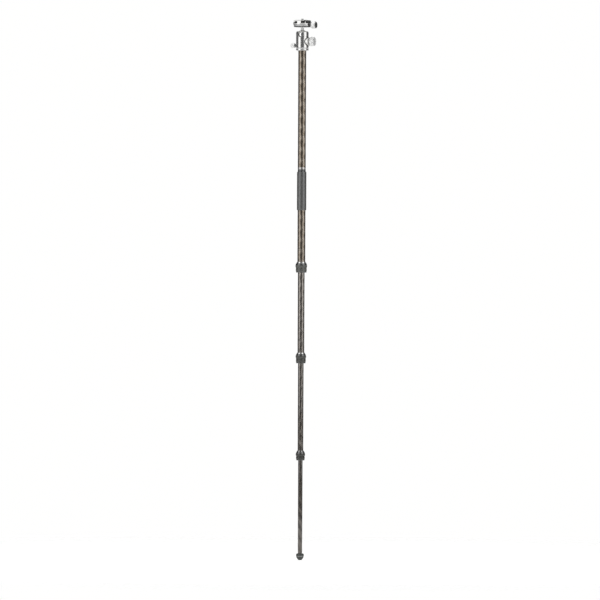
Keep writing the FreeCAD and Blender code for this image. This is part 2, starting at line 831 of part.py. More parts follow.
def make_seats():
    """The upper seat ring above the ball and the pressure cup below it."""
    top = S.housing_height - S.mouth_wall - S.running_gap
    seat = S.ball_radius + S.seat_gap
    ring_low = top - S.upper_seat_height
    ring = new_piece("upper_seat", z=HOUSING_BASE)
    ring_outer = S.chamber_radius - S.upper_seat_fit
    turn_profile(ring, [
        (across(seat, ring_low - S.ball_height), ring_low),
        (ring_outer, ring_low),
        (ring_outer, top),
        (across(seat, top - S.ball_height), top),
        Arc(seat, (0, S.ball_height)),
    ])
    cut_notch(ring, top, S.housing_radius)

    cup = new_piece("pressure_cup", z=HOUSING_BASE)
    cup_low = S.floor_thickness + S.clip_thickness + S.spigot_head + 5 * S.running_gap
    cup_outer = S.chamber_radius - S.running_gap
    slot_low = S.ball_lock_height + S.wedge_rise + S.running_gap
    slot_end = PAST * cup_outer
    slot_rise = tangent(S.wedge_angle) * (slot_end - S.cup_bore)
    turn_profile(cup, [
        (S.cup_bore, cup_low),
        (cup_outer, cup_low),
        (cup_outer, S.ball_height - across(seat, S.cup_seat_radius)),
        (S.cup_seat_radius, S.ball_height - across(seat, S.cup_seat_radius)),
        Arc(seat, (0, S.ball_height)),
        (S.cup_bore, S.ball_height - across(seat, S.cup_bore)),
    ])
    slot = new_sketch(cup, "XZ")
    draw_outline(slot, [
        (0, cup_low / PAST),
        (slot_end, cup_low / PAST),
        (slot_end, slot_low + slot_rise),
        (S.cup_bore, slot_low),
        (0, slot_low),
    ])
    extrude(cup, slot, 2 * S.plunger_radius + 2 * S.running_gap, cut=True, both_ways=True)


def make_ball_lock():
    """The ball lock: wedge plunger, screw and fluted knob, on one axis along X."""
    start = S.chamber_radius + 2 * S.running_gap
    plunger = new_piece("lock_plunger", z=BALL_LOCK_AXIS)
    turn_profile(plunger, [
        (S.plunger_nose, 0),
        (S.plunger_nose, S.plunger_radius),
        (start, S.plunger_radius),
        (start, 0),
    ], axis="H_Axis")
    slope = new_sketch(plunger, "XZ")
    nose_rise = S.wedge_rise + tangent(S.wedge_angle) * (S.plunger_nose - S.cup_bore)
    heel = S.cup_bore + (S.plunger_radius - S.wedge_rise) / tangent(S.wedge_angle)
    draw_outline(slope, [
        (S.plunger_nose, nose_rise),
        (heel, S.plunger_radius),
        (S.plunger_nose, S.plunger_radius),
    ])
    extrude(plunger, slope, 3 * S.plunger_radius, cut=True, both_ways=True)

    knob_x = S.boss_reach + 3 * S.running_gap + screw_back_off()
    screw = new_piece("ball_lock_screw", z=BALL_LOCK_AXIS)
    screw_low = start + S.running_gap
    screw_high = knob_x + S.lock_knob_core
    turn_profile(screw, [
        (screw_low, 0),
        (screw_low, S.lock_screw_radius - S.screw_tip),
        (screw_low + S.screw_tip, S.lock_screw_radius),
        (screw_high, S.lock_screw_radius),
        (screw_high, 0),
    ], axis="H_Axis")

    knob = new_piece("ball_lock_knob", x=knob_x, z=BALL_LOCK_AXIS)
    length = S.lock_knob_length
    outer = S.lock_knob_radius
    turn_profile(knob, [
        (0, S.lock_screw_radius),
        (0, S.lock_knob_inner_radius),
        (S.lock_knob_flare, outer - S.lock_knob_recess),
        (S.lock_knob_flare + S.lock_knob_shoulder, outer),
        (length - S.lock_knob_edge, outer),
        (length, outer - S.lock_knob_edge),
        (length, outer - S.lock_knob_rim),
        (length - S.lock_knob_recess, outer - S.lock_knob_rim - S.lock_knob_recess),
        (length - S.lock_knob_recess, 0),
        (S.lock_knob_core, 0),
        (S.lock_knob_core, S.lock_screw_radius),
    ], axis="H_Axis")
    flute = new_sketch(knob, "YZ", offset=S.lock_knob_flare + S.lock_knob_shoulder)
    draw_circle(flute, 0, outer + S.flute_radius - S.flute_depth, S.flute_radius)
    cut = extrude(knob, flute, length, cut=True)
    repeat_round(knob, cut, "X", S.lock_knob_flutes)


def screw_back_off():
    """The thread's clearance under a knob when its screw is home."""
    return 2 * S.running_gap


def make_pan_lock():
    """The pan lock: nylon brake pin, necked screw and small knob, on one axis along -X."""
    pin_start = -(S.spigot_radius + S.running_gap)
    pin_end = pin_start - S.brake_pin_length
    pin = new_piece("pan_brake_pin", z=PAN_LOCK_AXIS)
    turn_profile(pin, [
        (pin_end, 0),
        (pin_start, 0),
        (pin_start, S.brake_pin_radius),
        (pin_end, S.brake_pin_radius),
    ], axis="H_Axis")

    screw_start = pin_end - S.running_gap
    neck_start = -(S.housing_radius + 3 * S.running_gap)
    neck_end = neck_start - S.pan_screw_neck
    knob_end = neck_end - S.pan_knob_length
    core_end = neck_end - S.pan_knob_core
    screw = new_piece("pan_lock_screw", z=PAN_LOCK_AXIS)
    turn_profile(screw, [
        (screw_start, 0),
        (screw_start, S.pan_screw_radius),
        (neck_start, S.pan_screw_radius),
        (neck_start, S.pan_screw_neck_radius),
        (neck_end, S.pan_screw_neck_radius),
        (neck_end, S.pan_screw_radius),
        (core_end, S.pan_screw_radius),
        (core_end, 0),
    ], axis="H_Axis")

    knob = new_piece("pan_lock_knob", z=PAN_LOCK_AXIS)
    outer = S.pan_knob_radius
    turn_profile(knob, [
        (neck_end, S.pan_screw_radius),
        (neck_end, outer - S.pan_knob_edge),
        (neck_end - S.pan_knob_edge, outer),
        (knob_end + S.pan_knob_edge, outer),
        (knob_end, outer - S.pan_knob_edge),
        (knob_end, 0),
        (core_end, 0),
        (core_end, S.pan_screw_radius),
    ], axis="H_Axis")


def channel_outline():
    """Half of the dovetail channel between the jaws, from the middle out to +X."""
    slack = S.dovetail_slack
    edge = S.dovetail_half_width + slack
    inner = edge - S.dovetail_depth + slack / 2
    foot = S.clamp_floor + S.dovetail_foot
    neck = foot + (edge - inner)
    return [
        (0, S.clamp_floor),
        (edge, S.clamp_floor),
        (edge, foot),
        (inner, neck),
        (inner, PAST * S.clamp_height),
        (0, PAST * S.clamp_height),
    ]


def mirrored(steps):
    """The same outline on the other side of the Z axis."""
    return [(-x, z) for x, z in steps]


def clamp_disc(label):
    """The clamp's round block with a double-bevelled edge and its dovetail channel."""
    block = new_piece(label, z=CLAMP_BASE)
    turn_profile(block, [
        (0, 0),
        (S.clamp_rim_radius, 0),
        (S.clamp_radius, S.clamp_rim_height - S.clamp_rim_band / 2),
        (S.clamp_radius, S.clamp_rim_height + S.clamp_rim_band / 2),
        (S.clamp_top_radius, S.clamp_height),
        (0, S.clamp_height),
    ])
    for side in (channel_outline(), mirrored(channel_outline())):
        channel = new_sketch(block, "XZ")
        draw_outline(channel, side)
        extrude(block, channel, 3 * S.clamp_radius, cut=True, both_ways=True)
    return block


def cut_holes(block, holes, start=0):
    """Cuts round holes along +X from start: each (y, z, radius, end)."""
    for y, z, radius, end in holes:
        drill = new_sketch(block, "YZ", offset=start)
        draw_circle(drill, y, z, radius)
        extrude(block, drill, end - start, cut=True)


def make_clamp():
    """The screw clamp: block with the fixed jaw, moving jaw, guide pins, springs and bolt."""
    far = PAST * S.clamp_radius
    axis = S.clamp_screw_height
    half_spacing = S.guide_pin_spacing / 2
    pin_fit = S.guide_pin_radius + S.running_gap / 2
    screw_fit = S.clamp_screw_radius + S.running_gap / 2
    spring_room = S.spring_radius + S.spring_wire / 2 + 3 * S.running_gap

    block = clamp_disc("clamp_block")
    away = new_sketch(block, "XY")
    draw_outline(away, box_steps(S.clamp_split, 2 * far, -far, far))
    extrude(block, away, far, cut=True)
    cut_holes(block, [(0, axis, screw_fit, far)], start=S.clamp_screw_end - 3 * S.running_gap)
    for side in (-1, 1):
        y = side * half_spacing
        cut_holes(block, [(y, axis, S.guide_pin_radius, far)], start=pin_start())
        cut_holes(block, [(y, axis, spring_room, far)], start=S.clamp_split + S.jaw_gap - S.spring_length)
    turn_profile(block, [
        (0, -S.stem_socket),
        (S.stem_radius + S.running_gap / 2, -S.stem_socket),
        (S.stem_radius + S.running_gap / 2, S.stem_socket),
        (S.clamp_bolt_radius + S.running_gap / 2, S.stem_socket),
        (S.clamp_bolt_radius + S.running_gap / 2, bolt_seat()),
        (S.clamp_bolt_head_radius + S.running_gap, bolt_seat()),
        (S.clamp_bolt_head_radius + S.running_gap, S.clamp_height),
        (0, S.clamp_height),
    ], cut=True)

    jaw = clamp_disc("clamp_jaw")
    away = new_sketch(jaw, "XY")
    draw_outline(away, box_steps(-2 * far, S.clamp_split + S.jaw_gap, -far, far))
    extrude(jaw, away, far, cut=True)
    face = new_sketch(jaw, "XY")
    draw_outline(face, box_steps(S.jaw_face, 2 * far, -far, far))
    extrude(jaw, face, far, cut=True)
    cut_holes(jaw, [(0, axis, S.clamp_screw_radius + 3 * S.running_gap, far)])
    pin_end = pin_start() + S.guide_pin_length + jaw_travel()
    cut_holes(jaw, [(side * half_spacing, axis, pin_fit, pin_end) for side in (-1, 1)])

    make_guide_pins(half_spacing, axis)
    make_springs(half_spacing, axis)

    bolt = new_piece("clamp_bolt", z=CLAMP_BASE + bolt_seat())
    head = S.clamp_bolt_head_height - 2 * S.running_gap
    turn_profile(bolt, [
        (0, -S.clamp_bolt_length),
        (S.clamp_bolt_radius, -S.clamp_bolt_length),
        (S.clamp_bolt_radius, 0),
        (S.clamp_bolt_head_radius, 0),
        (S.clamp_bolt_head_radius, head),
        (S.clamp_bolt_socket, head),
        (S.clamp_bolt_socket, head / 2),
        (0, head / 2),
    ])


def bolt_seat():
    """The height of the bolt's seat above the clamp's underside."""
    return S.clamp_floor - S.clamp_bolt_head_height


def jaw_travel():
    """How far the moving jaw opens."""
    return S.dovetail_depth + 2 * S.dovetail_slack


def pin_start():
    """Where the jaw's guide pins begin inside the clamp's block."""
    return S.clamp_split + S.jaw_gap - S.guide_pin_length * 0.6


def make_guide_pins(half_spacing, axis):
    """Two steel pins pressed into the block, on which the jaw slides."""
    pins = new_piece("jaw_guide_pins", z=CLAMP_BASE)
    rounds = new_sketch(pins, "YZ", offset=pin_start())
    for side in (-1, 1):
        draw_circle(rounds, side * half_spacing, axis, S.guide_pin_radius)
    extrude(pins, rounds, S.guide_pin_length - 2 * S.running_gap)


def make_springs(half_spacing, axis):
    """The two springs that push the jaw open, as plain sleeves of their coils' size."""
    length = S.spring_length - 4 * S.running_gap
    springs = new_piece("jaw_springs", z=CLAMP_BASE)
    rounds = new_sketch(springs, "YZ", offset=S.clamp_split + S.jaw_gap - S.running_gap - length)
    for side in (-1, 1):
        for edge in (-1, 1):
            draw_circle(rounds, side * half_spacing, axis, S.spring_radius + edge * S.spring_wire / 2)
    extrude(springs, rounds, length)


def make_clamp_knob():
    """The clamp's screw, washer, flared knob and dark end cap, along +X."""
    start = S.jaw_face + S.knob_washer_thickness + S.running_gap
    length = S.clamp_knob_length
    core = S.clamp_knob_core
    cone_end = S.clamp_knob_collar + S.clamp_knob_cone
    outer = S.clamp_knob_radius
    neck = S.clamp_knob_neck_radius
    axis = CLAMP_SCREW_AXIS

    washer = new_piece("knob_washer", x=S.jaw_face, z=axis)
    turn_profile(washer, [
        (0, S.clamp_screw_radius + 3 * S.running_gap),
        (0, neck),
        (S.knob_washer_thickness, neck),
        (S.knob_washer_thickness, S.clamp_screw_radius + 3 * S.running_gap),
    ], axis="H_Axis")

    screw = new_piece("clamp_screw", z=axis)
    turn_profile(screw, [
        (S.clamp_screw_end, 0),
        (S.clamp_screw_end, S.clamp_screw_radius - S.screw_tip),
        (S.clamp_screw_end + S.screw_tip, S.clamp_screw_radius),
        (start + core, S.clamp_screw_radius),
        (start + core, 0),
    ], axis="H_Axis")

    knob = new_piece("clamp_knob", x=start, z=axis)
    turn_profile(knob, [
        (0, S.clamp_screw_radius),
        (0, neck),
        (S.clamp_knob_collar, neck),
        (cone_end, outer - S.edge_break),
        (cone_end + S.edge_break, outer),
        (length - S.edge_break, outer),
        (length, outer - S.edge_break),
        (length, 0),
        (core, 0),
        (core, S.clamp_screw_radius),
    ], axis="H_Axis")
    flute = new_sketch(knob, "YZ", offset=cone_end)
    flute_axis = outer + S.clamp_knob_flute_radius - S.clamp_knob_flute_depth
    draw_circle(flute, 0, flute_axis, S.clamp_knob_flute_radius)
    cut = extrude(knob, flute, length, cut=True)
    repeat_round(knob, cut, "X", S.clamp_knob_flutes)

    cap = new_piece("clamp_knob_cap", x=start + length, z=axis)
    turn_profile(cap, [
        (0, 0),
        (0, S.knob_cap_radius),
        (S.knob_cap_thickness - S.knob_cap_edge, S.knob_cap_radius),
        (S.knob_cap_thickness, S.knob_cap_radius - S.knob_cap_edge),
        (S.knob_cap_thickness, 0),
    ], axis="H_Axis")


def make_plate():
    """The quick-release plate with its dovetail, ribbed pad and captive camera screw."""
    half = S.dovetail_half_width
    depth = S.dovetail_depth
    foot = S.dovetail_foot
    height = S.qr_plate_height
    neck_top = S.clamp_height - S.clamp_floor
    length = S.qr_plate_length
    head_fit = S.camera_screw_head_radius + 2 * S.running_gap
    shank_fit = S.camera_screw_radius + 2 * S.running_gap
    head_top = S.camera_screw_head_height + 4 * S.running_gap
    base = CHANNEL_FLOOR + S.running_gap

    plate = new_piece("qr_plate", z=base)
    section = new_sketch(plate, "XZ")
    right = [
        (half - foot, 0),
        (half, foot),
        (half - depth, foot + depth),
        (half - depth, neck_top),
        (half, neck_top + S.qr_plate_overhang),
        (half, height),
    ]
    draw_outline(section, right + [(-x, z) for x, z in reversed(right)])
    extrude(plate, section, length, both_ways=True)
    turn_profile(plate, [
        (0, 0),
        (head_fit, 0),
        (head_fit, head_top),
        (shank_fit, head_top),
        (shank_fit, height),
        (0, height),
    ], cut=True)

    pad = new_piece("plate_pad", z=base + height)
    half_pad = half - S.pad_inset
    sheet = new_sketch(pad, "XY")
    draw_outline(sheet, box_steps(-half_pad, half_pad, S.pad_inset - length / 2, length / 2 - S.pad_inset))
    draw_circle(sheet, 0, 0, shank_fit + S.pad_hole_slack)
    extrude(pad, sheet, S.pad_thickness)
    pitch = 2 * half_pad / (S.pad_ribs + 1)
    groove = new_sketch(pad, "XZ")
    low = S.pad_thickness - S.pad_rib_depth
    first = pitch - half_pad
    draw_outline(groove, box_steps(first - pitch / 4, first + pitch / 4, low, PAST * S.pad_thickness))
    cut = extrude(pad, groove, 2 * length, cut=True, both_ways=True)
    rows = pad.newObject("PartDesign::LinearPattern", "plate_pad_rows")
    rows.Originals = [cut]
    rows.Direction = ([o for o in pad.Origin.OriginFeatures if o.Role == "X_Axis"][0], [""])
    rows.Length = (pitch * (S.pad_ribs - 1)).value
    rows.setExpression("Length", (pitch * (S.pad_ribs - 1)).formula)
    rows.Occurrences = int(S.pad_ribs.value)
    rows.setExpression("Occurrences", S.pad_ribs.formula)
    pad.Tip = rows

    screw = new_piece("camera_screw", z=base + 3 * S.running_gap)
    stand = height + S.pad_thickness + S.camera_screw_stand - 3 * S.running_gap
    head = S.camera_screw_head_height
    turn_profile(screw, [
        (0, 0),
        (S.camera_screw_head_radius, 0),
        (S.camera_screw_head_radius, head),
        (S.camera_screw_neck_radius, head),
        (S.camera_screw_neck_radius, stand - S.camera_screw_stand),
        (S.camera_screw_radius, stand - S.camera_screw_stand),
        (S.camera_screw_radius, stand - S.screw_tip),
        (S.camera_screw_radius - S.screw_tip, stand),
        (0, stand),
    ])
    slot = new_sketch(screw, "XZ")
    width = S.camera_screw_slot
    draw_outline(slot, box_steps(-width / 2, width / 2, -head, head / 2))
    extrude(screw, slot, 3 * S.camera_screw_head_radius, cut=True, both_ways=True)


def check_features():
    """Stops on a failed object, or on a feature that adds or cuts nothing."""
    for item in doc.Objects:
        if "Invalid" in item.State or "Error" in item.State:
            raise RuntimeError(f"{item.Name} failed: {item.State}")
    for body in pieces():
        last = 0.0
        for item in body.Group if hasattr(body, "Group") else ():
            if not item.isDerivedFrom("PartDesign::Feature"):
                continue
            change = item.Shape.Volume - last
            cuts = item.TypeId in ("PartDesign::Pocket", "PartDesign::Groove")
            if (change > -1e-6) == cuts and "Pattern" not in item.TypeId:
                raise RuntimeError(f"{item.Name} changed nothing: {change}")
            last = item.Shape.Volume


def pieces():
    """Every separate piece of the part."""
    return [o for o in doc.Objects if o.TypeId in ("PartDesign::Body", "Part::Feature")]


def export_pieces():
    """Writes each piece to its own file."""
    os.makedirs("parts", exist_ok=True)
    for piece in pieces():
        shape = piece.Shape
        if shape.isNull() or not shape.isValid():
            raise RuntimeError(f"{piece.Label} has no valid shape")
        shape.exportStep(f"parts/{piece.Label}.step")
    print(len(pieces()), "pieces")


make_foot()
for number in (4, 3, 2, 1):
    make_tube(number)
for number in (4, 3, 2):
    make_guides(number)
for number in LOCK_HEIGHT:
    make_lock(number)
make_grip()
make_joint()
make_column()
make_pan_base()
make_housing()
make_seats()
make_ball()
make_ball_lock()
make_pan_lock()
make_clamp()
make_clamp_knob()
make_plate()
doc.recompute()
check_features()
export_pieces()
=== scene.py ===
"""A monopod: one carbon leg with three twist locks, a column and a ball head with a screw clamp."""

import json
import logging
import math
from collections.abc import Callable
from dataclasses import dataclass, field, replace
from enum import Enum
from functools import cache
from typing import NamedTuple, Union

import bmesh
import bpy
from mathutils import Matrix, Vector


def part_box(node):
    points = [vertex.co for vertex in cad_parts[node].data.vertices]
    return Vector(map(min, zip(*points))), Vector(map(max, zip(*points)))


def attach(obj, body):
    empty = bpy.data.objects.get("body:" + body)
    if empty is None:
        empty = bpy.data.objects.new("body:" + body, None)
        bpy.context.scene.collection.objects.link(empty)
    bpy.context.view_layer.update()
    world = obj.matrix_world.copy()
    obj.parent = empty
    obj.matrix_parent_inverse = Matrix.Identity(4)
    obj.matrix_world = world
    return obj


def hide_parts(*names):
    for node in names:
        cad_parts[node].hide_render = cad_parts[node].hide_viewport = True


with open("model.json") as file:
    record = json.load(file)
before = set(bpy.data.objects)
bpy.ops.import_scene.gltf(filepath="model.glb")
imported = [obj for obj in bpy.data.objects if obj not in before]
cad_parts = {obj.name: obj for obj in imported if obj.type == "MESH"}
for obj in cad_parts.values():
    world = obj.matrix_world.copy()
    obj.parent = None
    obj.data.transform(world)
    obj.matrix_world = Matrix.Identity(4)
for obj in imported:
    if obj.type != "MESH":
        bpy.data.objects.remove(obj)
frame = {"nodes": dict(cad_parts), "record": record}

LOG = logging.getLogger("monopod")
MM = 0.001
SHARP = math.radians(32)
BEVELLED = math.radians(38)
POLE = 1e-6
SEAM = 1e-7

Corner = tuple[float, ...]
Colour = tuple[float, float, float]
Value = Union[float, "Wire"]
Piece = bpy.types.Object
Socket = bpy.types.NodeSocket
Loop = list[bmesh.types.BMVert]


class Axis(Enum):
    """The line that a piece is turned about or runs along."""

    UP = "z"
    SIDE = "x"
    BACK = "y"


class Grain(Enum):
    """How a metal surface was worked: its noise's scale, and its depth in metres."""

    TURNED = (9000.0, 0.000012)
    BLASTED = (5200.0, 0.000020)
    POLISHED = (700.0, 0.000002)


class Join(Enum):
    """What a solid does to the piece that it is joined with."""

    ADD = "UNION"
    CUT = "DIFFERENCE"
    KEEP = "INTERSECT"


# ---------------------------------------------------------------- node wiring


class NodeMaker:
    """A node tree under work, with the one method that makes any node."""

    tree: bpy.types.NodeTree

    def node(self, kind: str, values: dict[str | int, object], **settings: object) -> bpy.types.Node:
        """Makes a node.

        Args:
            kind: the node's type.
            values: a number, colour, Wire or socket for each input, by name or index.
            settings: the node's own settings, set first.

        Returns:
            The node.
        """
        made = self.tree.nodes.new(kind)
        for key, value in settings.items():
            setattr(made, key, value)
        for key, value in values.items():
            value = value.socket if isinstance(value, Wire) else value
            if isinstance(value, Socket):
                self.tree.links.new(value, made.inputs[key])
            else:
                made.inputs[key].default_value = value
        return made


class Wire:
    """A shader socket that can stand in a sum: each operator adds its Math node."""

    def __init__(self, graph: "Graph", socket: Socket) -> None:
        """Keeps the graph and the output socket."""
        self.graph, self.socket = graph, socket

    def join(self, operation: str, first: Value, second: Value = 0.0) -> "Wire":
        """The result of one Math node."""
        node = self.graph.node("ShaderNodeMath", {0: first, 1: second}, operation=operation)
        return Wire(self.graph, node.outputs[0])

    def __add__(self, other: Value) -> "Wire":
        """The sum."""
        return self.join("ADD", self, other)

    __radd__ = __add__

    def __sub__(self, other: Value) -> "Wire":
        """The difference."""
        return self.join("SUBTRACT", self, other)

    def __rsub__(self, other: float) -> "Wire":
        """The difference from a number."""
        return self.join("SUBTRACT", other, self)

    def __mul__(self, other: Value) -> "Wire":
        """The product."""
        return self.join("MULTIPLY", self, other)

    __rmul__ = __mul__

    def __truediv__(self, other: Value) -> "Wire":
        """The quotient."""
        return self.join("DIVIDE", self, other)

    def floor(self) -> "Wire":
        """The whole number below."""
        return self.join("FLOOR", self)

    def wrapped(self, span: float) -> "Wire":
        """The remainder in 0 to span, also below zero."""
        return self - (self / span).floor() * span

    def sine(self) -> "Wire":
        """The sine, in radians."""
        return self.join("SINE", self)

    def step(self, low: float, high: float) -> "Wire":
        """A soft step from 0 to 1.

        Args:
            low: where it is 0.
            high: where it is 1.

        Returns:
            The step.
        """
        values = {"Value": self, "From Min": low, "From Max": high}
        node = self.graph.node("ShaderNodeMapRange", values, interpolation_type="SMOOTHSTEP")
        return Wire(self.graph, node.outputs[0])


class Graph(NodeMaker):
    """The nodes of a material or of the room, with methods that name the common ones."""

    def __init__(self, owner: bpy.types.Material | bpy.types.World) -> None:
        """Starts the owner's tree afresh.

        Args:
            owner: whose tree it is.
        """
        owner.use_nodes = True
        self.owner, self.tree = owner, owner.node_tree
        self.tree.nodes.clear()
        self.given = self.node("ShaderNodeTexCoord", {}).outputs
        self.place = self.given["Object"]

    def centred(self, middle: Corner) -> Socket:
        """Object coordinates counted from a point on the piece's axis."""
        values = {"Vector": self.place, "Location": [-value for value in middle]}
        return self.node("ShaderNodeMapping", values, vector_type="POINT").outputs["Vector"]

    def parts(self, vector: Socket) -> tuple[Wire, ...]:
        """The three coordinates of a vector."""
        return tuple(Wire(self, socket) for socket in self.node("ShaderNodeSeparateXYZ", {0: vector}).outputs)

    def vector(self, x: Value, y: Value, z: Value) -> Socket:
        """A vector from three values."""
        return self.node("ShaderNodeCombineXYZ", {0: x, 1: y, 2: z}).outputs[0]

    def turn(self, across: Wire, along: Wire) -> Wire:
        """The angle round an axis, in radians."""
        return along.join("ARCTAN2", along, across)

    def noise(self, vector: Socket, scale: float, detail: float = 3.0) -> Wire:
        """Noise from 0 to 1."""
        node = self.node("ShaderNodeTexNoise", {"Vector": vector, "Scale": scale, "Detail": detail})
        return Wire(self, node.outputs[0])

    def cells(self, vector: Socket, scale: float) -> Wire:
        """The distance to the nearest of scattered points."""
        return Wire(self, self.node("ShaderNodeTexVoronoi", {"Vector": vector, "Scale": scale}).outputs["Distance"])

    def worn(self) -> Wire:
        """The mesh's own mark of its broken edges, 1 on an edge."""
        return Wire(self, self.node("ShaderNodeAttribute", {}, attribute_name="worn").outputs["Fac"])

    def bump(self, height: Wire, depth: float) -> Socket:
        """The normal of a surface whose height of 0 to 1 goes depth metres deep."""
        return self.node("ShaderNodeBump", {"Height": height, "Distance": depth, "Strength": 1.0}).outputs["Normal"]

    def blend(self, share: Value, first: Colour | Wire, second: Colour | Wire) -> Wire:
        """Mixes two colours.

        Args:
            share: how much of the second.
            first: the first colour.
            second: the second colour.

        Returns:
            The mixed colour.
        """
        whole = [(*tone, 1.0) if isinstance(tone, tuple) else tone for tone in (first, second)]
        node = self.node("ShaderNodeMix", {"Factor": share, "A": whole[0], "B": whole[1]}, data_type="RGBA")
        return Wire(self, node.outputs["Result"])

    def finish(self, values: dict[str, object]) -> bpy.types.Material:
        """Ends the material in a Principled shader.

        Args:
            values: the shader's inputs by name.

        Returns:
            The material.
        """
        shader = self.node("ShaderNodeBsdfPrincipled", values)
        self.node("ShaderNodeOutputMaterial", {"Surface": shader.outputs[0]})
        return self.owner


# ---------------------------------------------------------------- finishes


@dataclass(frozen=True)
class Carbon:
    """Wound carbon tube under a clear coat: twill tows, and a spiral wrap along the tube.

    The four weights say how much the wrap, its crossing, the twill and the clouds show in the tone.
    """

    name: str
    radius: float
    # shade: each tube's brightness, painted light and shade on one carbon.
    shade: float = 1.0
    warmth: float = 1.0
    contrast: float = 1.0
    dark: Colour = (0.118, 0.088, 0.056)
    light: Colour = (0.345, 0.298, 0.242)
    wrap: float = 31.0
    tow: float = 1.7
    ripple: float = 0.65
    ridges: float = 0.014
    weights: tuple[float, float, float, float] = (0.15, 0.07, 0.13, 0.30)
    clouds: float = 140.0
    mean: float = 0.20
    level: float = 0.44
    coat_roughness: float = 0.06
    slot: str = "carbon"

    def material(self) -> bpy.types.Material:
        """Builds the material.

        Returns:
            The material.
        """
        graph = Graph(bpy.data.materials.new(self.name))
        x, y, z = graph.parts(graph.place)
        angle = graph.turn(x, y) / math.tau
        tows = max(8, 4 * round(math.tau * self.radius / self.tow / 4))
        around, along = angle * tows, z / (self.tow * MM)
        over = (around.floor() + along.floor()).wrapped(4.0).step(1.45, 1.55)
        ridge = (around.wrapped(1.0) * math.pi).sine() * (1 - over) + (along.wrapped(1.0) * math.pi).sine() * over
        pitch = self.wrap * MM
        spiral = ((z / pitch + angle) * math.tau).sine()
        crossing = ((z / (0.5 * pitch) - angle * 2.0) * math.tau).sine()
        cloudy = graph.noise(graph.vector(angle * 2.0, 0.0, z), self.clouds)
        wraps, crossings, twills, clouds = self.weights
        mottled = spiral * wraps + crossing * crossings + over * twills + cloudy * clouds - self.mean
        sheen = (mottled * self.contrast + self.level).step(0.0, 1.0)
        wave = ((z / pitch + angle * 2.0) * math.tau).sine()
        return graph.finish({
            "Base Color": graph.blend(sheen, self.shaded(self.dark), self.shaded(self.light)),
            "Roughness": 0.19 + sheen * 0.10,
            "Metallic": 0.88,
            "Coat Weight": 1.0,
            "Coat Roughness": self.coat_roughness,
            "Normal": graph.bump(ridge * self.ridges + wave * 0.5, self.ripple * MM),
        })

    def shaded(self, tone: Colour) -> Colour:
        """A tone in this tube's own warmth and its painted shade."""
        return tuple((tone[1] + (value - tone[1]) * self.warmth) * self.shade for value in tone)


@dataclass(frozen=True)
class Metal:
    """Worked metal: its grain follows the tool, and its edges are worn brighter."""

    name: str
    slot: str
    colour: Colour
    edge: Colour
    roughness: float
    grain: Grain = Grain.TURNED
    axis: Axis = Axis.UP
    middle: Corner = (0.0, 0.0, 0.0)
    metallic: float = 1.0
    blotches: float = 90.0
    scuffs: float = 900.0
    blotchy: float = 0.30

    def about(self, axis: Axis, middle: Vector) -> "Metal":
        """The same metal turned about another line."""
        spot = tuple(round(value, 6) for value in middle)
        return replace(self, name=f"{self.name}_{axis.value}_{spot[2] * 1e4:.0f}", axis=axis, middle=spot)

    def material(self) -> bpy.types.Material:
        """Builds the material.

        Returns:
            The material.
        """
        graph = Graph(bpy.data.materials.new(self.name))
        place = graph.centred(self.middle)
        x, y, z = graph.parts(place)
        along, across, up = (x, y, z) if self.axis is Axis.SIDE else (z, x, y)
        blotch = graph.noise(place, self.blotches, 4.0)
        wear = (graph.worn() * (0.35 + graph.noise(place, self.scuffs) * 0.9)).step(0.25, 0.85)
        scale, depth = self.grain.value
        if self.grain is Grain.TURNED:
            grain = graph.noise(graph.vector(along * scale, graph.turn(across, up) * 0.8, 0.0), 1.0, 2.0)
        else:
            grain = graph.noise(place, scale, 2.0)
        return graph.finish({
            "Base Color": graph.blend(wear, graph.blend(blotch * self.blotchy, self.colour, self.edge), self.edge),
            "Roughness": self.roughness * (0.72 + grain * 0.34 + blotch * 0.22) - wear * (0.25 * self.roughness),
            "Metallic": self.metallic,
            "Normal": graph.bump(grain, depth),
        })


@dataclass(frozen=True)
class Moulded:
    """Rubber, foam or nylon: a mottled body with pores or a moulded grain; the pores get painted shade."""

    name: str
    slot: str
    colour: Colour
    bright: Colour
    roughness: float
    pore: float
    depth: float
    coat: float = 0.0
    index: float = 1.5
    mottling: float = 210.0
    scuffs: float = 600.0
    pit: float = 0.82

    def material(self) -> bpy.types.Material:
        """Builds the material.

        Returns:
            The material.
        """
        graph = Graph(bpy.data.materials.new(self.name))
        mottle = graph.noise(graph.place, self.mottling, 5.0)
        pores = graph.cells(graph.place, 1 / (self.pore * MM))
        rubbed = (graph.worn() * (0.3 + graph.noise(graph.place, self.scuffs))).step(0.3, 0.9)
        tone = graph.blend(mottle.step(0.3, 0.8) * 0.6 + rubbed * 0.4, self.colour, self.bright)
        values = {
            # The pores are painted darker than the body: painted shade in the pores.
            "Base Color": graph.blend((pores * 1.6).step(0.1, 0.7), tuple(c * self.pit for c in self.colour), tone),
            "Roughness": self.roughness - rubbed * 0.12 + mottle * 0.10,
            "IOR": self.index,
            "Normal": graph.bump(pores, self.depth),
        }
        if self.coat:
            values |= {"Coat Weight": self.coat, "Coat Roughness": 0.22}
        return graph.finish(values)

    def toned(self, name: str, tone: float) -> "Moulded":
        """The same stuff, darker and less glossy where tone is below 1: a copy of one material with painted shade.
        """
        colour, bright = (tuple(tone * value for value in shade) for shade in (self.colour, self.bright))
        return replace(self, name=name, index=1.4 + 0.4 * tone, colour=colour, bright=bright)


Finish = Carbon | Metal | Moulded

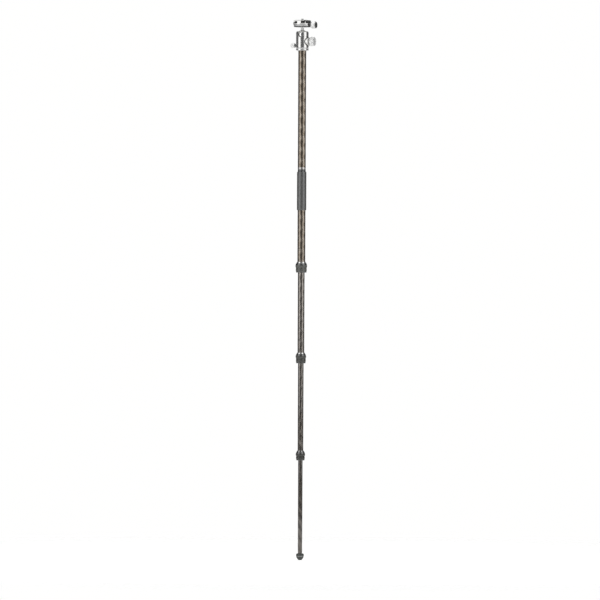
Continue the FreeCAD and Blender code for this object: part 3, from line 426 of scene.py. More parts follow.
SILVER = Metal("satin_silver", "satin_silver", (0.62, 0.615, 0.60), (0.86, 0.86, 0.85), 0.24)
KNOB_SILVER = replace(SILVER, name="satin_silver_knob", colour=(0.80, 0.80, 0.79), edge=(0.93, 0.93, 0.92),
                      roughness=0.42, metallic=0.62)
SCALE_SILVER = replace(SILVER, name="satin_silver_scale", colour=(0.80, 0.80, 0.79), roughness=0.34, metallic=0.4)
DULL_SILVER = replace(SILVER, name="satin_silver_dull", colour=(0.48, 0.46, 0.44))
SILVER_BLOCK = replace(SILVER, name="satin_silver_block", grain=Grain.BLASTED, roughness=0.22)
# Near-black metal for painted shade and painted dark reflection: in the groove round the housing's boss, on the
# clamp's bevels, hem and jaw end, and along the plate's top edge.
PAINTED_SHADE_BLACK = Metal("painted_shade_black", "dark_metal", (0.030, 0.030, 0.031), (0.22, 0.22, 0.21), 0.34, Grain.BLASTED)
DARK_METAL = Metal("dark_metal", "dark_metal", (0.075, 0.078, 0.078), (0.42, 0.42, 0.41), 0.30)
STEEL = Metal("steel", "steel", (0.50, 0.50, 0.49), (0.78, 0.78, 0.77), 0.20)
RING_STEEL = replace(STEEL, name="steel_ring", colour=(0.36, 0.36, 0.35), roughness=0.32)
POLISHED = Metal("polished_ball", "polished_ball", (0.74, 0.74, 0.73), (0.84, 0.84, 0.83), 0.10, Grain.POLISHED)
LOCK_RUBBER = Moulded("lock_rubber", "lock_rubber", (0.062, 0.064, 0.054), (0.115, 0.118, 0.103),
                      0.42, 0.55, 0.00004, 0.25, 1.8)
PAD_RUBBER = Moulded("pad_rubber", "lock_rubber", (0.034, 0.035, 0.031), (0.075, 0.077, 0.070),
                     0.55, 0.55, 0.00004, index=1.2)
FOAM = Moulded("foam", "foam", (0.030, 0.031, 0.028), (0.052, 0.053, 0.048), 0.36, 0.36, 0.00008, index=2.3)
FOOT_RUBBER = Moulded("foot_rubber", "foot_rubber", (0.046, 0.050, 0.047), (0.10, 0.106, 0.10), 0.62, 0.60, 0.00005)
NYLON = Moulded("nylon", "nylon", (0.62, 0.61, 0.57), (0.74, 0.73, 0.70), 0.42, 0.90, 0.00001)
BLACK_NYLON = Moulded("black_nylon", "black_nylon", (0.012, 0.012, 0.012), (0.032, 0.032, 0.030),
                      0.46, 0.70, 0.00002, index=1.15)
SLOT_FINISH: dict[str, Finish] = {
    finish.slot: finish
    for finish in (SILVER, DARK_METAL, POLISHED, STEEL, LOCK_RUBBER, FOAM, FOOT_RUBBER, NYLON, BLACK_NYLON)
}


@cache
def coat_of(finish: Finish) -> bpy.types.Material:
    """The material of a finish, made once."""
    return finish.material()


# ---------------------------------------------------------------- mesh making


class Room(NamedTuple):
    """How far a CAD node reaches at rest, in millimetres."""

    left: float
    right: float
    bottom: float
    top: float


def room(node: str) -> Room:
    """The room that a CAD node takes."""
    low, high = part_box(node)
    return Room(low.x / MM, high.x / MM, low.z / MM, high.z / MM)


def softened(corners: list[Corner], steps: int = 4) -> list[Corner]:
    """Rounds the corners of a closed half section.

    Args:
        corners: (radius, along) or (radius, along, rounding), in millimetres.
        steps: how many edges a rounding has.

    Returns:
        Points as (radius, along, worn), with worn 1 on a rounded edge.
    """
    made = []
    for index, corner in enumerate(corners):
        spot = Vector(corner[:2])
        size = corner[2] if len(corner) > 2 else 0.0
        before = Vector(corners[index - 1][:2]) - spot
        after = Vector(corners[(index + 1) % len(corners)][:2]) - spot
        if size <= 0 or min(before.length, after.length) < POLE:
            made.append((spot.x, spot.y, 0.0))
            continue
        reach = min(size, 0.45 * before.length, 0.45 * after.length)
        start, end = spot + before.normalized() * reach, spot + after.normalized() * reach
        for step in range(steps + 1):
            share = step / steps
            point = start * (1 - share) ** 2 + spot * (2 * share * (1 - share)) + end * share**2
            made.append((point.x, point.y, math.sin(math.pi * share)))
    return made


@dataclass
class Flutes:
    """Round hollows cut along a turned knob."""

    count: int
    radius: float
    depth: float
    outer: float
    start: float
    end: float

    def reach(self, radius: float, along: float, angle: float) -> float:
        """How far out the knob still is at an angle.

        Args:
            radius: the radius without flutes.
            along: the place along the axis.
            angle: the angle about it.

        Returns:
            The radius with flutes.
        """
        pitch = math.tau / self.count
        off = (angle + pitch / 2) % pitch - pitch / 2
        centre = self.outer + self.radius - self.depth
        inside = self.radius**2 - (centre * math.sin(off)) ** 2
        if inside <= 0 or not self.start <= along <= self.end:
            return radius
        return min(radius, centre * math.cos(off) - math.sqrt(inside))

    def split(self, points: list[Corner]) -> list[Corner]:
        """Adds points where the flutes start, so that they end in a short step.

        Args:
            points: the knob's half section, as softened gives it.

        Returns:
            The half section with the added points.
        """
        made = []
        for (radius, along, worn), (next_radius, next_along, _) in zip(points, points[1:] + points[:1]):
            made.append((radius, along, worn))
            for edge in (self.start - 0.02, self.start + 0.3):
                if min(along, next_along) < edge < max(along, next_along) and abs(next_along - along) > 0.5:
                    share = (edge - along) / (next_along - along)
                    made.append((radius + (next_radius - radius) * share, edge, 0.0))
        return made


def band(mesh: bmesh.types.BMesh, first: Loop, second: Loop) -> None:
    """Closes the strip between two loops, either of which may be a single point.

    Args:
        mesh: the mesh under work.
        first: one loop's vertices.
        second: the other's.
    """
    count = max(len(first), len(second))
    for step in range(count if count > 1 else 0):
        after = (step + 1) % count
        around = [first[step % len(first)], first[after % len(first)],
                  second[after % len(second)], second[step % len(second)]]
        mesh.faces.new(list(dict.fromkeys(around)))


def smooth_faces(piece: Piece) -> None:
    """Shades a piece smooth, but for its sharp edges."""
    piece.data.shade_smooth()
    piece.data.set_sharp_from_angle(angle=SHARP)


def linked(name: str, data: bpy.types.ID) -> Piece:
    """Puts a mesh, a light or a camera into the scene.

    Args:
        name: the object's name.
        data: the mesh, light or camera.

    Returns:
        The object.
    """
    made = bpy.data.objects.new(name, data)
    bpy.context.scene.collection.objects.link(made)
    return made


def mesh_object(name: str, mesh: bmesh.types.BMesh) -> Piece:
    """Turns a mesh under work into an object with closed seams and outward faces.

    Args:
        name: the object's name.
        mesh: the mesh, freed here.

    Returns:
        The object.
    """
    bmesh.ops.remove_doubles(mesh, verts=mesh.verts, dist=SEAM)
    bmesh.ops.recalc_face_normals(mesh, faces=mesh.faces)
    data = bpy.data.meshes.new(name)
    mesh.to_mesh(data)
    mesh.free()
    made = linked(name, data)
    smooth_faces(made)
    return made


def turned(
    name: str, corners: list[Corner], axis: Axis = Axis.UP, middle: Corner = (0.0, 0.0, 0.0),
    segments: int = 96, flutes: Flutes | None = None,
) -> Piece:
    """Turns a closed half section about an axis.

    Args:
        name: the piece's name.
        corners: the half section, in millimetres, as softened takes it.
        axis: the axis.
        middle: where the axis starts, in metres.
        segments: how many steps round.
        flutes: hollows cut along the piece.

    Returns:
        The piece.
    """
    points = softened(corners)
    if flutes:
        points = flutes.split(points)
    mesh = bmesh.new()
    mark = mesh.verts.layers.float.new("worn")
    rings = []
    for radius, along, worn in points:
        ring = []
        for step in range(segments if radius > POLE else 1):
            angle = math.tau * step / segments
            reach = flutes.reach(radius, along, angle) if flutes else radius
            spot = [reach * math.cos(angle) * MM, reach * math.sin(angle) * MM]
            spot.insert(2 if axis is Axis.UP else 0, along * MM)
            vert = mesh.verts.new(Vector(spot) + Vector(middle))
            vert[mark] = worn
            ring.append(vert)
        rings.append(ring)
    for ring, other in zip(rings, rings[1:] + rings[:1]):
        band(mesh, ring, other)
    return mesh_object(name, mesh)


def rod(
    radius: float, low: float, high: float, axis: Axis = Axis.UP, middle: Corner = (0.0, 0.0, 0.0),
    segments: int = 64,
) -> Piece:
    """A plain rod to cut with, of a radius and from low to high along its axis."""
    return turned("rod", [(0.0, low), (radius, low), (radius, high), (0.0, high)], axis, middle, segments)


def rectangle(left: float, right: float, low: float, high: float, rounding: float = 0.0) -> list[Corner]:
    """A rectangle's outline with rounded corners."""
    return [(x, y, rounding) for x, y in ((left, low), (right, low), (right, high), (left, high))]


def prism(name: str, outline: list[Corner], low: float, high: float, axis: Axis = Axis.UP) -> Piece:
    """Runs a flat outline along an axis.

    Args:
        name: the object's name.
        outline: its corners in millimetres, as x and y, or as x and z where it runs back.
        low: where it starts along the axis.
        high: where it ends.
        axis: Axis.UP or Axis.BACK.

    Returns:
        The object, in metres.
    """
    mesh = bmesh.new()
    ends = [
        [mesh.verts.new(Vector((x, y, along) if axis is Axis.UP else (x, along, y)) * MM)
         for x, y, _ in softened(outline)]
        for along in (low, high)
    ]
    for end in ends:
        mesh.faces.new(end)
    band(mesh, *ends)
    return mesh_object(name, mesh)


def settled(piece: Piece) -> Piece:
    """Makes a piece's modifiers part of its mesh.

    Args:
        piece: the piece.

    Returns:
        The same piece, with no modifier left.
    """
    depsgraph = bpy.context.evaluated_depsgraph_get()
    mesh = bpy.data.meshes.new_from_object(
        piece.evaluated_get(depsgraph), preserve_all_data_layers=True, depsgraph=depsgraph
    )
    mesh.name = piece.name
    piece.modifiers.clear()
    piece.data = mesh
    return piece


def carved(base: Piece, tools: list[tuple[Join, Piece]], edge: float = 0.0) -> Piece:
    """Joins or cuts solids, and breaks the edges that this leaves.

    Args:
        base: the piece to work on.
        tools: what to do with each solid, in order; each solid is used up.
        edge: how wide the broken edges are, in millimetres.

    Returns:
        The worked piece.
    """
    for mode, tool in tools:
        cut = base.modifiers.new(mode.value.lower(), "BOOLEAN")
        cut.operation, cut.solver, cut.object = mode.value, "EXACT", tool
    settled(base)
    for _, tool in tools:
        bpy.data.objects.remove(tool)
    if edge:
        weld = base.modifiers.new("weld", "WELD")
        weld.merge_threshold = 0.02 * MM
        bevel = base.modifiers.new("edges", "BEVEL")
        bevel.width, bevel.segments, bevel.limit_method = edge * MM, 2, "ANGLE"
        bevel.angle_limit, bevel.miter_outer = BEVELLED, "MITER_ARC"
        settled(base)
    smooth_faces(base)
    weighted = base.modifiers.new("weighted", "WEIGHTED_NORMAL")
    weighted.keep_sharp = True
    return settled(base)


def trimmed(piece: Piece, finish: Finish, test: Callable[[Vector], bool]) -> None:
    """Gives some of a dressed piece's faces a second finish.

    Args:
        piece: the piece.
        finish: the second finish.
        test: says for a face's centre, in millimetres, whether it takes it.
    """
    piece.data.materials.append(coat_of(finish))
    last = len(piece.data.materials) - 1
    for face in piece.data.polygons:
        if test(face.center / MM):
            face.material_index = last


# ---------------------------------------------------------------- repeats in geometry nodes


class Pattern(NodeMaker):
    """A geometry tree under work, with named inputs."""

    def __init__(self, name: str, inputs: dict[str, str]) -> None:
        """Starts the tree.

        Args:
            name: the tree's name.
            inputs: kinds of socket by input name.
        """
        self.tree = bpy.data.node_groups.new(name, "GeometryNodeTree")
        face = self.tree.interface
        face.new_socket("Geometry", in_out="INPUT", socket_type="NodeSocketGeometry")
        self.keys = {
            label: face.new_socket(label, in_out="INPUT", socket_type=f"NodeSocket{kind}").identifier
            for label, kind in (inputs | {"Material": "Material"}).items()
        }
        face.new_socket("Geometry", in_out="OUTPUT", socket_type="NodeSocketGeometry")
        self.given = self.node("NodeGroupInput", {}).outputs

    def close(self, shape: Socket) -> None:
        """Ends the tree in realized instances with their material.

        Args:
            shape: the tree's geometry.
        """
        real = self.node("GeometryNodeRealizeInstances", {"Geometry": shape})
        values = {"Geometry": real.outputs[0], "Material": self.given["Material"]}
        dressed = self.node("GeometryNodeSetMaterial", values)
        self.node("NodeGroupOutput", {"Geometry": dressed.outputs[0]})

    def run(self, piece: Piece, finish: Finish, values: dict[str, object]) -> Piece:
        """Runs the tree on a piece.

        Args:
            piece: the piece, whose mesh is the tree's input.
            finish: what the result is made of.
            values: the other inputs by name.

        Returns:
            The piece with the plain mesh that the tree makes.
        """
        modifier = piece.modifiers.new(self.tree.name, "NODES")
        modifier.node_group = self.tree
        for label, value in (values | {"Material": coat_of(finish)}).items():
            modifier[self.keys[label]] = value
        piece.update_tag()
        settled(piece)
        smooth_faces(piece)
        return piece


class Repeat(Pattern):
    """Copies a piece round the upright axis or along a line."""

    def __init__(self) -> None:
        """Builds the tree."""
        super().__init__("repeat", {"Count": "Int", "Angle": "Float", "Step": "Vector"})
        one = self.node("GeometryNodeGeometryToInstance", {0: self.given["Geometry"]})
        many = self.node(
            "GeometryNodeDuplicateElements", {"Geometry": one.outputs[0], "Amount": self.given["Count"]},
            domain="INSTANCE",
        )
        index = many.outputs["Duplicate Index"]
        angle = self.node("ShaderNodeMath", {0: index, 1: self.given["Angle"]}, operation="MULTIPLY")
        turn = self.node("FunctionNodeAxisAngleToRotation", {"Axis": (0.0, 0.0, 1.0), "Angle": angle.outputs[0]})
        round_axis = self.node("GeometryNodeRotateInstances", {
            "Instances": many.outputs["Geometry"], "Rotation": turn.outputs[0], "Local Space": False,
        })
        shift = self.node("ShaderNodeVectorMath", {0: self.given["Step"], "Scale": index}, operation="SCALE")
        moved = self.node("GeometryNodeTranslateInstances", {
            "Instances": round_axis.outputs[0], "Translation": shift.outputs[0], "Local Space": False,
        })
        self.close(moved.outputs[0])

    def ring(self, piece: Piece, count: int, finish: Finish) -> None:
        """Copies a piece evenly round the upright axis."""
        self.run(piece, finish, {"Count": count, "Angle": math.tau / count, "Step": (0.0, 0.0, 0.0)})

    def row(self, piece: Piece, count: int, finish: Finish, pitch: float) -> None:
        """Copies a piece along x, a pitch in millimetres apart."""
        self.run(piece, finish, {"Count": count, "Angle": 0.0, "Step": (pitch * MM, 0.0, 0.0)})


class Coil(Pattern):
    """A wire wound into a coil along +Z: a spring, or the ridge of a thread."""

    def __init__(self) -> None:
        """Builds the tree."""
        super().__init__("coil", {
            "Turns": "Float", "Radius": "Float", "Height": "Float", "Wire": "Float", "Sides": "Int", "Steps": "Int",
        })
        given = self.given
        path = self.node("GeometryNodeCurveSpiral", {
            "Resolution": given["Steps"], "Rotations": given["Turns"], "Start Radius": given["Radius"],
            "End Radius": given["Radius"], "Height": given["Height"],
        })
        section = self.node(
            "GeometryNodeCurvePrimitiveCircle", {"Resolution": given["Sides"], "Radius": given["Wire"]}
        )
        wound = self.node("GeometryNodeCurveToMesh", {
            "Curve": path.outputs[0], "Profile Curve": section.outputs[0], "Fill Caps": True,
        })
        self.close(wound.outputs[0])

    def wind(
        self, name: str, turns: float, radius: float, height: float, wire: float, finish: Finish, place: Matrix
    ) -> Piece:
        """Winds a coil and puts it in its place.

        Args:
            name: the piece's name.
            turns: how many turns.
            radius: the coil's radius, in millimetres.
            height: its length.
            wire: the wire's radius.
            finish: its finish.
            place: where its start and axis are.

        Returns:
            The coil.
        """
        piece = mesh_object(name, bmesh.new())
        self.run(piece, finish, {
            "Turns": turns, "Radius": radius * MM, "Height": height * MM, "Wire": wire * MM,
            "Sides": 6, "Steps": 28,
        })
        piece.data.transform(place)
        return piece


# ---------------------------------------------------------------- sub-assemblies


@dataclass
class SubAssembly:
    """A group of pieces that are made and dressed together."""

    repeat: Repeat
    coil: Coil
    made: list[str] = field(default_factory=list)

    def build(self) -> None:
        """Makes the group's pieces."""
        raise NotImplementedError

    def dress(self, piece: Piece, finish: Finish, body: str, *nodes: str) -> Piece:
        """Gives a piece its finish and body, and hides what it stands for.

        Args:
            piece: the piece.
            finish: its finish, which knows the record's material slot.
            body: the CAD body that it rides on.
            nodes: the CAD nodes that it replaces.

        Returns:
            The piece.
        """
        piece.data.materials.clear()
        piece.data.materials.append(coat_of(finish))
        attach(piece, body)
        if nodes:
            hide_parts(*nodes)
        self.made.append(piece.name)
        LOG.info("%s rides on %s in %s", piece.name, body, finish.name)
        return piece

    def turn(
        self, name: str, section: list[Corner], finish: Finish, body: str, *nodes: str, **form: object
    ) -> Piece:
        """Turns a piece, with what else turned takes, and dresses it."""
        return self.dress(turned(name, section, **form), finish, body, *nodes)

    def turn_aside(
        self, name: str, section: list[Corner], finish: Metal, level: float, body: str, *nodes: str, **form: object
    ) -> None:
        """Turns a piece about a level line, and dresses it in metal worked about the same line.

        Args:
            name: the piece's name.
            section: its half section.
            finish: its metal.
            level: the line's height, in metres.
            body: the CAD body that it rides on.
            nodes: the CAD nodes that it replaces.
            form: what else turned takes.
        """
        centre = Vector((0.0, 0.0, level))
        worked = finish.about(Axis.SIDE, centre)
        self.turn(name, section, worked, body, *nodes, axis=Axis.SIDE, middle=centre, **form)


@dataclass(frozen=True)
class Winding:
    """How one tube is wound: its CAD node and body, its painted shade, warmth and contrast, and its wall."""

    node: str
    body: str
    shade: float
    warmth: float
    contrast: float
    wall: float = 1.1


@dataclass
class Tubes(SubAssembly):
    """The leg's four tubes and the column, wound in carbon."""

    lip: float = 0.25
    # Each tube's shade is painted light and shade: one carbon made brighter or darker tube by tube.
    windings: tuple[Winding, ...] = (
        Winding("leg_tube_1", "pole", 1.1, 0.95, 0.9),
        Winding("leg_tube_2", "section_2", 1.15, 0.5, 0.7),
        Winding("leg_tube_3", "section_3", 0.88, 0.5, 0.6),
        Winding("leg_tube_4", "section_4", 0.53, 0.6, 0.4),
        Winding("column_tube", "pole", 1.1, 1.0, 1.2, 1.5),
    )

    def build(self) -> None:
        """Makes each tube in the space of its CAD node."""
        for winding in self.windings:
            _, radius, bottom, top = room(winding.node)
            bore = radius - winding.wall
            section = [(bore, bottom), (radius, bottom, self.lip), (radius, top, self.lip), (bore, top)]
            finish = Carbon(f"carbon_{winding.node}", radius, winding.shade, winding.warmth, winding.contrast)
            self.turn(f"{winding.node}_wound", section, finish, winding.body, winding.node)


@dataclass
class TwistLock(SubAssembly):
    """One twist lock: fitting with a sloped shoulder, collar, and waisted rubber with ribs."""

    number: int = 1
    brim: float = 4.8
    shoulder: float = 8.2
    gap: float = 0.2
    rim: float = 3.7
    flange: float = 0.6
    rim_light_tones: tuple[float, ...] = (0.80, 0.70, 0.24)
    rubber_shade_tones: tuple[float, ...] = (1.0, 0.66, 0.42)
    ribs: int = 30
    rib_width: float = 1.1
    rib_rise: float = 0.45
    hip: float = 4.2
    flare: float = 0.9
    hollow: float = 1.35

    def build(self) -> None:
        """Makes the lock in the space of its CAD nodes."""
        name = f"lock_{self.number}"
        body = "pole" if self.number == 1 else f"section_{self.number}"
        _, outer, _, top = room(f"{name}_fitting")
        base = room(f"{name}_collar").bottom
        tube, inner = outer - self.brim, room(f"leg_tube_{self.number + 1}").right
        brow, seat = top - self.shoulder, top - self.rim
        collar_top = brow - self.gap
        self.turn(f"{name}_shoulder", [
            (tube + 1.0, base + 8.0), (tube + 1.9, base + 8.0, 0.2), (tube + 1.9, brow),
            (tube + self.brim, brow, 0.2), (tube + self.brim, brow + 0.8, 0.5), (tube + 3.9, brow + 3.0, 1.2),
            (tube + 3.0, seat, 0.15), (tube, seat), (tube, base + 12.0), (tube - 0.4, base + 12.0),
        ], DARK_METAL, body, f"{name}_fitting")
        # Each lock's rim is given its own brightness for the light that falls on it: painted light and shade on one
        # metal.
        tone = self.rim_light_tones[self.number - 1]
        bright = (tone, tone, 0.98 * tone)
        self.turn(f"{name}_rim", [
            (tube, seat), (tube + 3.0, seat, 0.2), (tube + 1.7, top - 1.0, 0.9), (tube + 1.35, top, 0.4),
            (tube, top),
        ], replace(DARK_METAL, name=f"dark_metal_{name}_rim", colour=bright, roughness=0.16), body)
        self.turn(f"{name}_sleeve", [
            (inner + 0.4, base), (tube + 3.1, base, 0.3), (tube + 3.5, base + 0.4, 0.2),
            (tube + 3.5, base + 2.0, 0.2), (tube + 3.0, base + 2.0), (tube + 3.0, collar_top - self.flange),
            (tube + self.brim, collar_top - self.flange, 0.15), (tube + self.brim, collar_top, 0.15),
            (tube + 2.0, collar_top), (tube + 2.0, base + 4.8), (inner + 0.4, base + 4.8),
        ], DARK_METAL, f"collar_{self.number}", f"{name}_collar")
        self.build_rubber(name, tube, base, collar_top - self.flange)

    def build_rubber(self, name: str, tube: float, base: float, crown: float) -> None:
        """Makes the rubber ring and its ribs.

        Args:
            name: the lock's name.
            tube: the outer tube's radius.
            base: the lock's lowest height.
            crown: the rubber's highest.
        """
        body = f"collar_{self.number}"
        # The lower locks' rubber is darkened, lock by lock: painted shade.
        rubber = LOCK_RUBBER.toned(f"{LOCK_RUBBER.name}_{self.number}", self.rubber_shade_tones[self.number - 1])
        side = self.waist(tube, base + 7.5, crown - 3.0)
        self.turn(f"{name}_ring", [
            (tube + 3.0, base + 2.0), (tube + 3.5, base + 2.0, 0.3), (tube + self.hip, base + 6.0, 0.6),
            *side, (tube + self.hip + self.flare, crown, 0.5), (tube + 3.0, crown),
        ], rubber, body, f"{name}_rubber", segments=120)
        rib = self.rib(f"{name}_ribs", side)
        self.repeat.ring(rib, self.ribs, rubber)
        self.dress(rib, rubber, body)

    def waist(self, tube: float, low: float, high: float) -> list[Corner]:
        """The rubber's hollow side, from its hip up to its crown.

        Args:
            tube: the outer tube's radius.
            low: the hip's height.
            high: the crown's.

        Returns:
            The side's corners.
        """
        made = []
        for step in range(9):
            share = step / 8
            radius = tube + self.hip + self.flare * share - self.hollow * math.sin(math.pi * share)
            made.append((radius, low + (high - low) * share))
        return made

    def rib(self, name: str, side: list[Corner]) -> Piece:
        """Makes one rib along the rubber's side, sunk at both ends.

        Args:
            name: its name.
            side: the side's corners.

        Returns:
            The rib.
        """
        half, sunk = self.rib_width / 2, 1.3 * self.rib_rise
        mesh = bmesh.new()
        mark = mesh.verts.layers.float.new("worn")
        rows = []
        for radius, height in side:
            at_end = height in (side[0][1], side[-1][1])
            proud = radius + self.rib_rise * (-0.2 if at_end else 1.0)
            row = []
            for offset, crest in ((-half, 0.0), (-half * 0.55, 1.0), (half * 0.55, 1.0), (half, 0.0)):
                vert = mesh.verts.new(Vector((proud - (1.0 - crest) * sunk, offset, height)) * MM)
                vert[mark] = crest
                row.append(vert)
            rows.append(row)
        for first, second in zip(rows, rows[1:]):
            band(mesh, first, second)
        mesh.faces.new(rows[0])
        mesh.faces.new(rows[-1])
        return mesh_object(name, mesh)


@dataclass
class Grip(SubAssembly):
    """The foam hand grip, with its rolled ends and the screwed joint above it."""

    roll: float = 1.4
    wall: float = 2.05
    steps: int = 40
    ring: float = 5.5
    spigot: float = 12.44
    tail: float = 11.0
    bore: float = 4.76
    swell: float = 0.05

    def build(self) -> None:
        """Makes the grip, the joint's two rings and the washer between them."""
        _, outer, bottom, top = room("foam_grip")
        side = [(outer - 1.1, bottom, 0.5), (outer - 0.25, bottom + self.roll, 0.6)]
        for step in range(1, self.steps):
            height = bottom + self.roll + (top - bottom - 2 * self.roll) * step / self.steps
            swell = self.swell * math.sin(0.9 * height) * math.sin(0.37 * height)
            side.append((outer - 0.12 + swell, height))
        side += [(outer - 0.25, top - self.roll, 0.6), (outer - 1.1, top, 0.5)]
        section = [(outer - self.wall, bottom), *side, (outer - self.wall, top)]
        foam = self.turn("grip_foam", section, FOAM, "pole", "foam_grip", segments=72)
        self.build_joint()

    def build_joint(self) -> None:
        """Makes the rings of the screwed joint, each with its fine groove, and the washer."""
        for node, finish in (("leg_top_bush", DARK_METAL), ("column_end_bush", DULL_SILVER)):
            _, radius, lowest, highest = room(node)
            screwed = node == "column_end_bush"
            bottom = lowest + self.spigot if screwed else highest - self.ring
            top = bottom + self.ring
            middle = (bottom + top) / 2
            plug = radius - (1.5 if screwed else 1.1)
            ring = [(radius, bottom, 0.3), (radius, middle - 0.5, 0.15), (radius - 0.5, middle, 0.1),
                    (radius, middle + 0.5, 0.15), (radius, top, 0.3)]
            if screwed:
                section = [(0.0, lowest), (4.2, lowest, 0.3), (4.7, bottom - 11.9), (4.7, bottom), *ring,
                           (plug, top), (plug, top + self.tail, 0.4), (0.0, top + self.tail)]
            else:
                section = [(0.0, bottom - self.tail), (plug, bottom - self.tail, 0.4), (plug, bottom), *ring,
                           (self.bore, top, 0.4), (self.bore, top - 13.0), (0.0, top - 13.0)]
            self.turn(f"{node}_ring", section, finish, "pole", node)
        _, radius, bottom, top = room("joint_washer")
        section = [(self.bore, bottom), (radius, bottom, 0.2), (radius, top, 0.2), (self.bore, top)]
        self.turn("joint_disc", section, LOCK_RUBBER, "pole", "joint_washer")


@dataclass
class Foot(SubAssembly):
    """The rubber foot, with a ring of grip blocks on its sloped sole."""

    blocks: int = 14
    sole: float = 3.5
    sunk: float = 0.4

    def build(self) -> None:
        """Makes the foot and its grip blocks."""
        self.turn("foot_pad", [
            (0.0, 0.0), (self.sole, 0.0, 0.5), (8.4, 4.2, 1.4), (9.9, 7.6, 0.8), (10.5, 10.2, 0.3),
            (10.15, 10.6, 0.2), (10.15, 11.2, 0.2), (10.6, 11.6, 0.3), (11.0, 12.6, 0.5), (11.0, 14.4, 0.8),
            (9.4, 18.0, 0.8), (4.7, 18.0), (4.7, 7.2), (0.0, 7.2),
        ], FOOT_RUBBER, "section_4", "foot_rubber")
        self.turn("foot_ring", [
            (9.9, 9.6), (10.36, 9.6, 0.2), (10.52, 10.3, 0.3), (10.36, 11.0, 0.2), (9.9, 11.0),
        ], RING_STEEL, "section_4")
        block = prism("foot_blocks", [
            (4.6, -0.85, 0.3), (8.2, -1.25, 0.3), (8.2, 1.25, 0.3), (4.6, 0.85, 0.3),
        ], 0.0, 1.1)
        slope = math.atan2(4.2, 8.4 - self.sole)
        lifted = Matrix.Translation(Vector((self.sole, 0.0, -self.sunk)) * MM)
        block.data.transform(
            lifted @ Matrix.Rotation(-slope, 4, "Y") @ Matrix.Translation(Vector((-self.sole, 0.0, 0.0)) * MM)
        )
        self.repeat.ring(block, self.blocks, FOOT_RUBBER)
        self.dress(block, FOOT_RUBBER, "section_4")


@dataclass
class PanBase(SubAssembly):
    """The column's plate and the panning ring above it, with its scale."""

    marks: int = 24
    mark: float = 0.07
    bore: float = 4.76
    radius: float = 17.5
    hub: float = 9.5

    def build(self) -> None:
        """Makes the plate, the ring and the ring's scale of small cuts."""
        top = room("column_plate").top
        bottom = top - 5.4
        self.turn("column_disc", [
            (4.7, bottom - 20.0), (9.6, bottom - 20.0, 0.4), (9.6, bottom), (11.5, bottom, 0.3),
            (16.6, bottom + 1.3, 0.8), (self.radius, bottom + 2.6, 0.5), (self.radius, top - 0.4, 0.3),
            (17.1, top), (4.7, top),
        ], SILVER, "pole", "column_plate", segments=128)
        _, radius, base, rise = room("pan_base")
        self.turn("pan_ring", [
            (self.bore, base), (radius, base, 0.35), (radius, base + 2.5, 0.35), (self.hub, base + 2.5),
            (self.hub, rise, 0.3), (0.0, rise), (0.0, base + 8.65), (self.bore, base + 8.65),
        ], SCALE_SILVER, "pole", "pan_base", segments=128)
        outline = rectangle(radius - 0.35, radius + 0.02, -self.mark, self.mark)
        mark = prism("pan_scale", outline, base + 0.7, base + 1.7)
        self.repeat.ring(mark, self.marks, BLACK_NYLON)
        self.dress(mark, BLACK_NYLON, "pole")


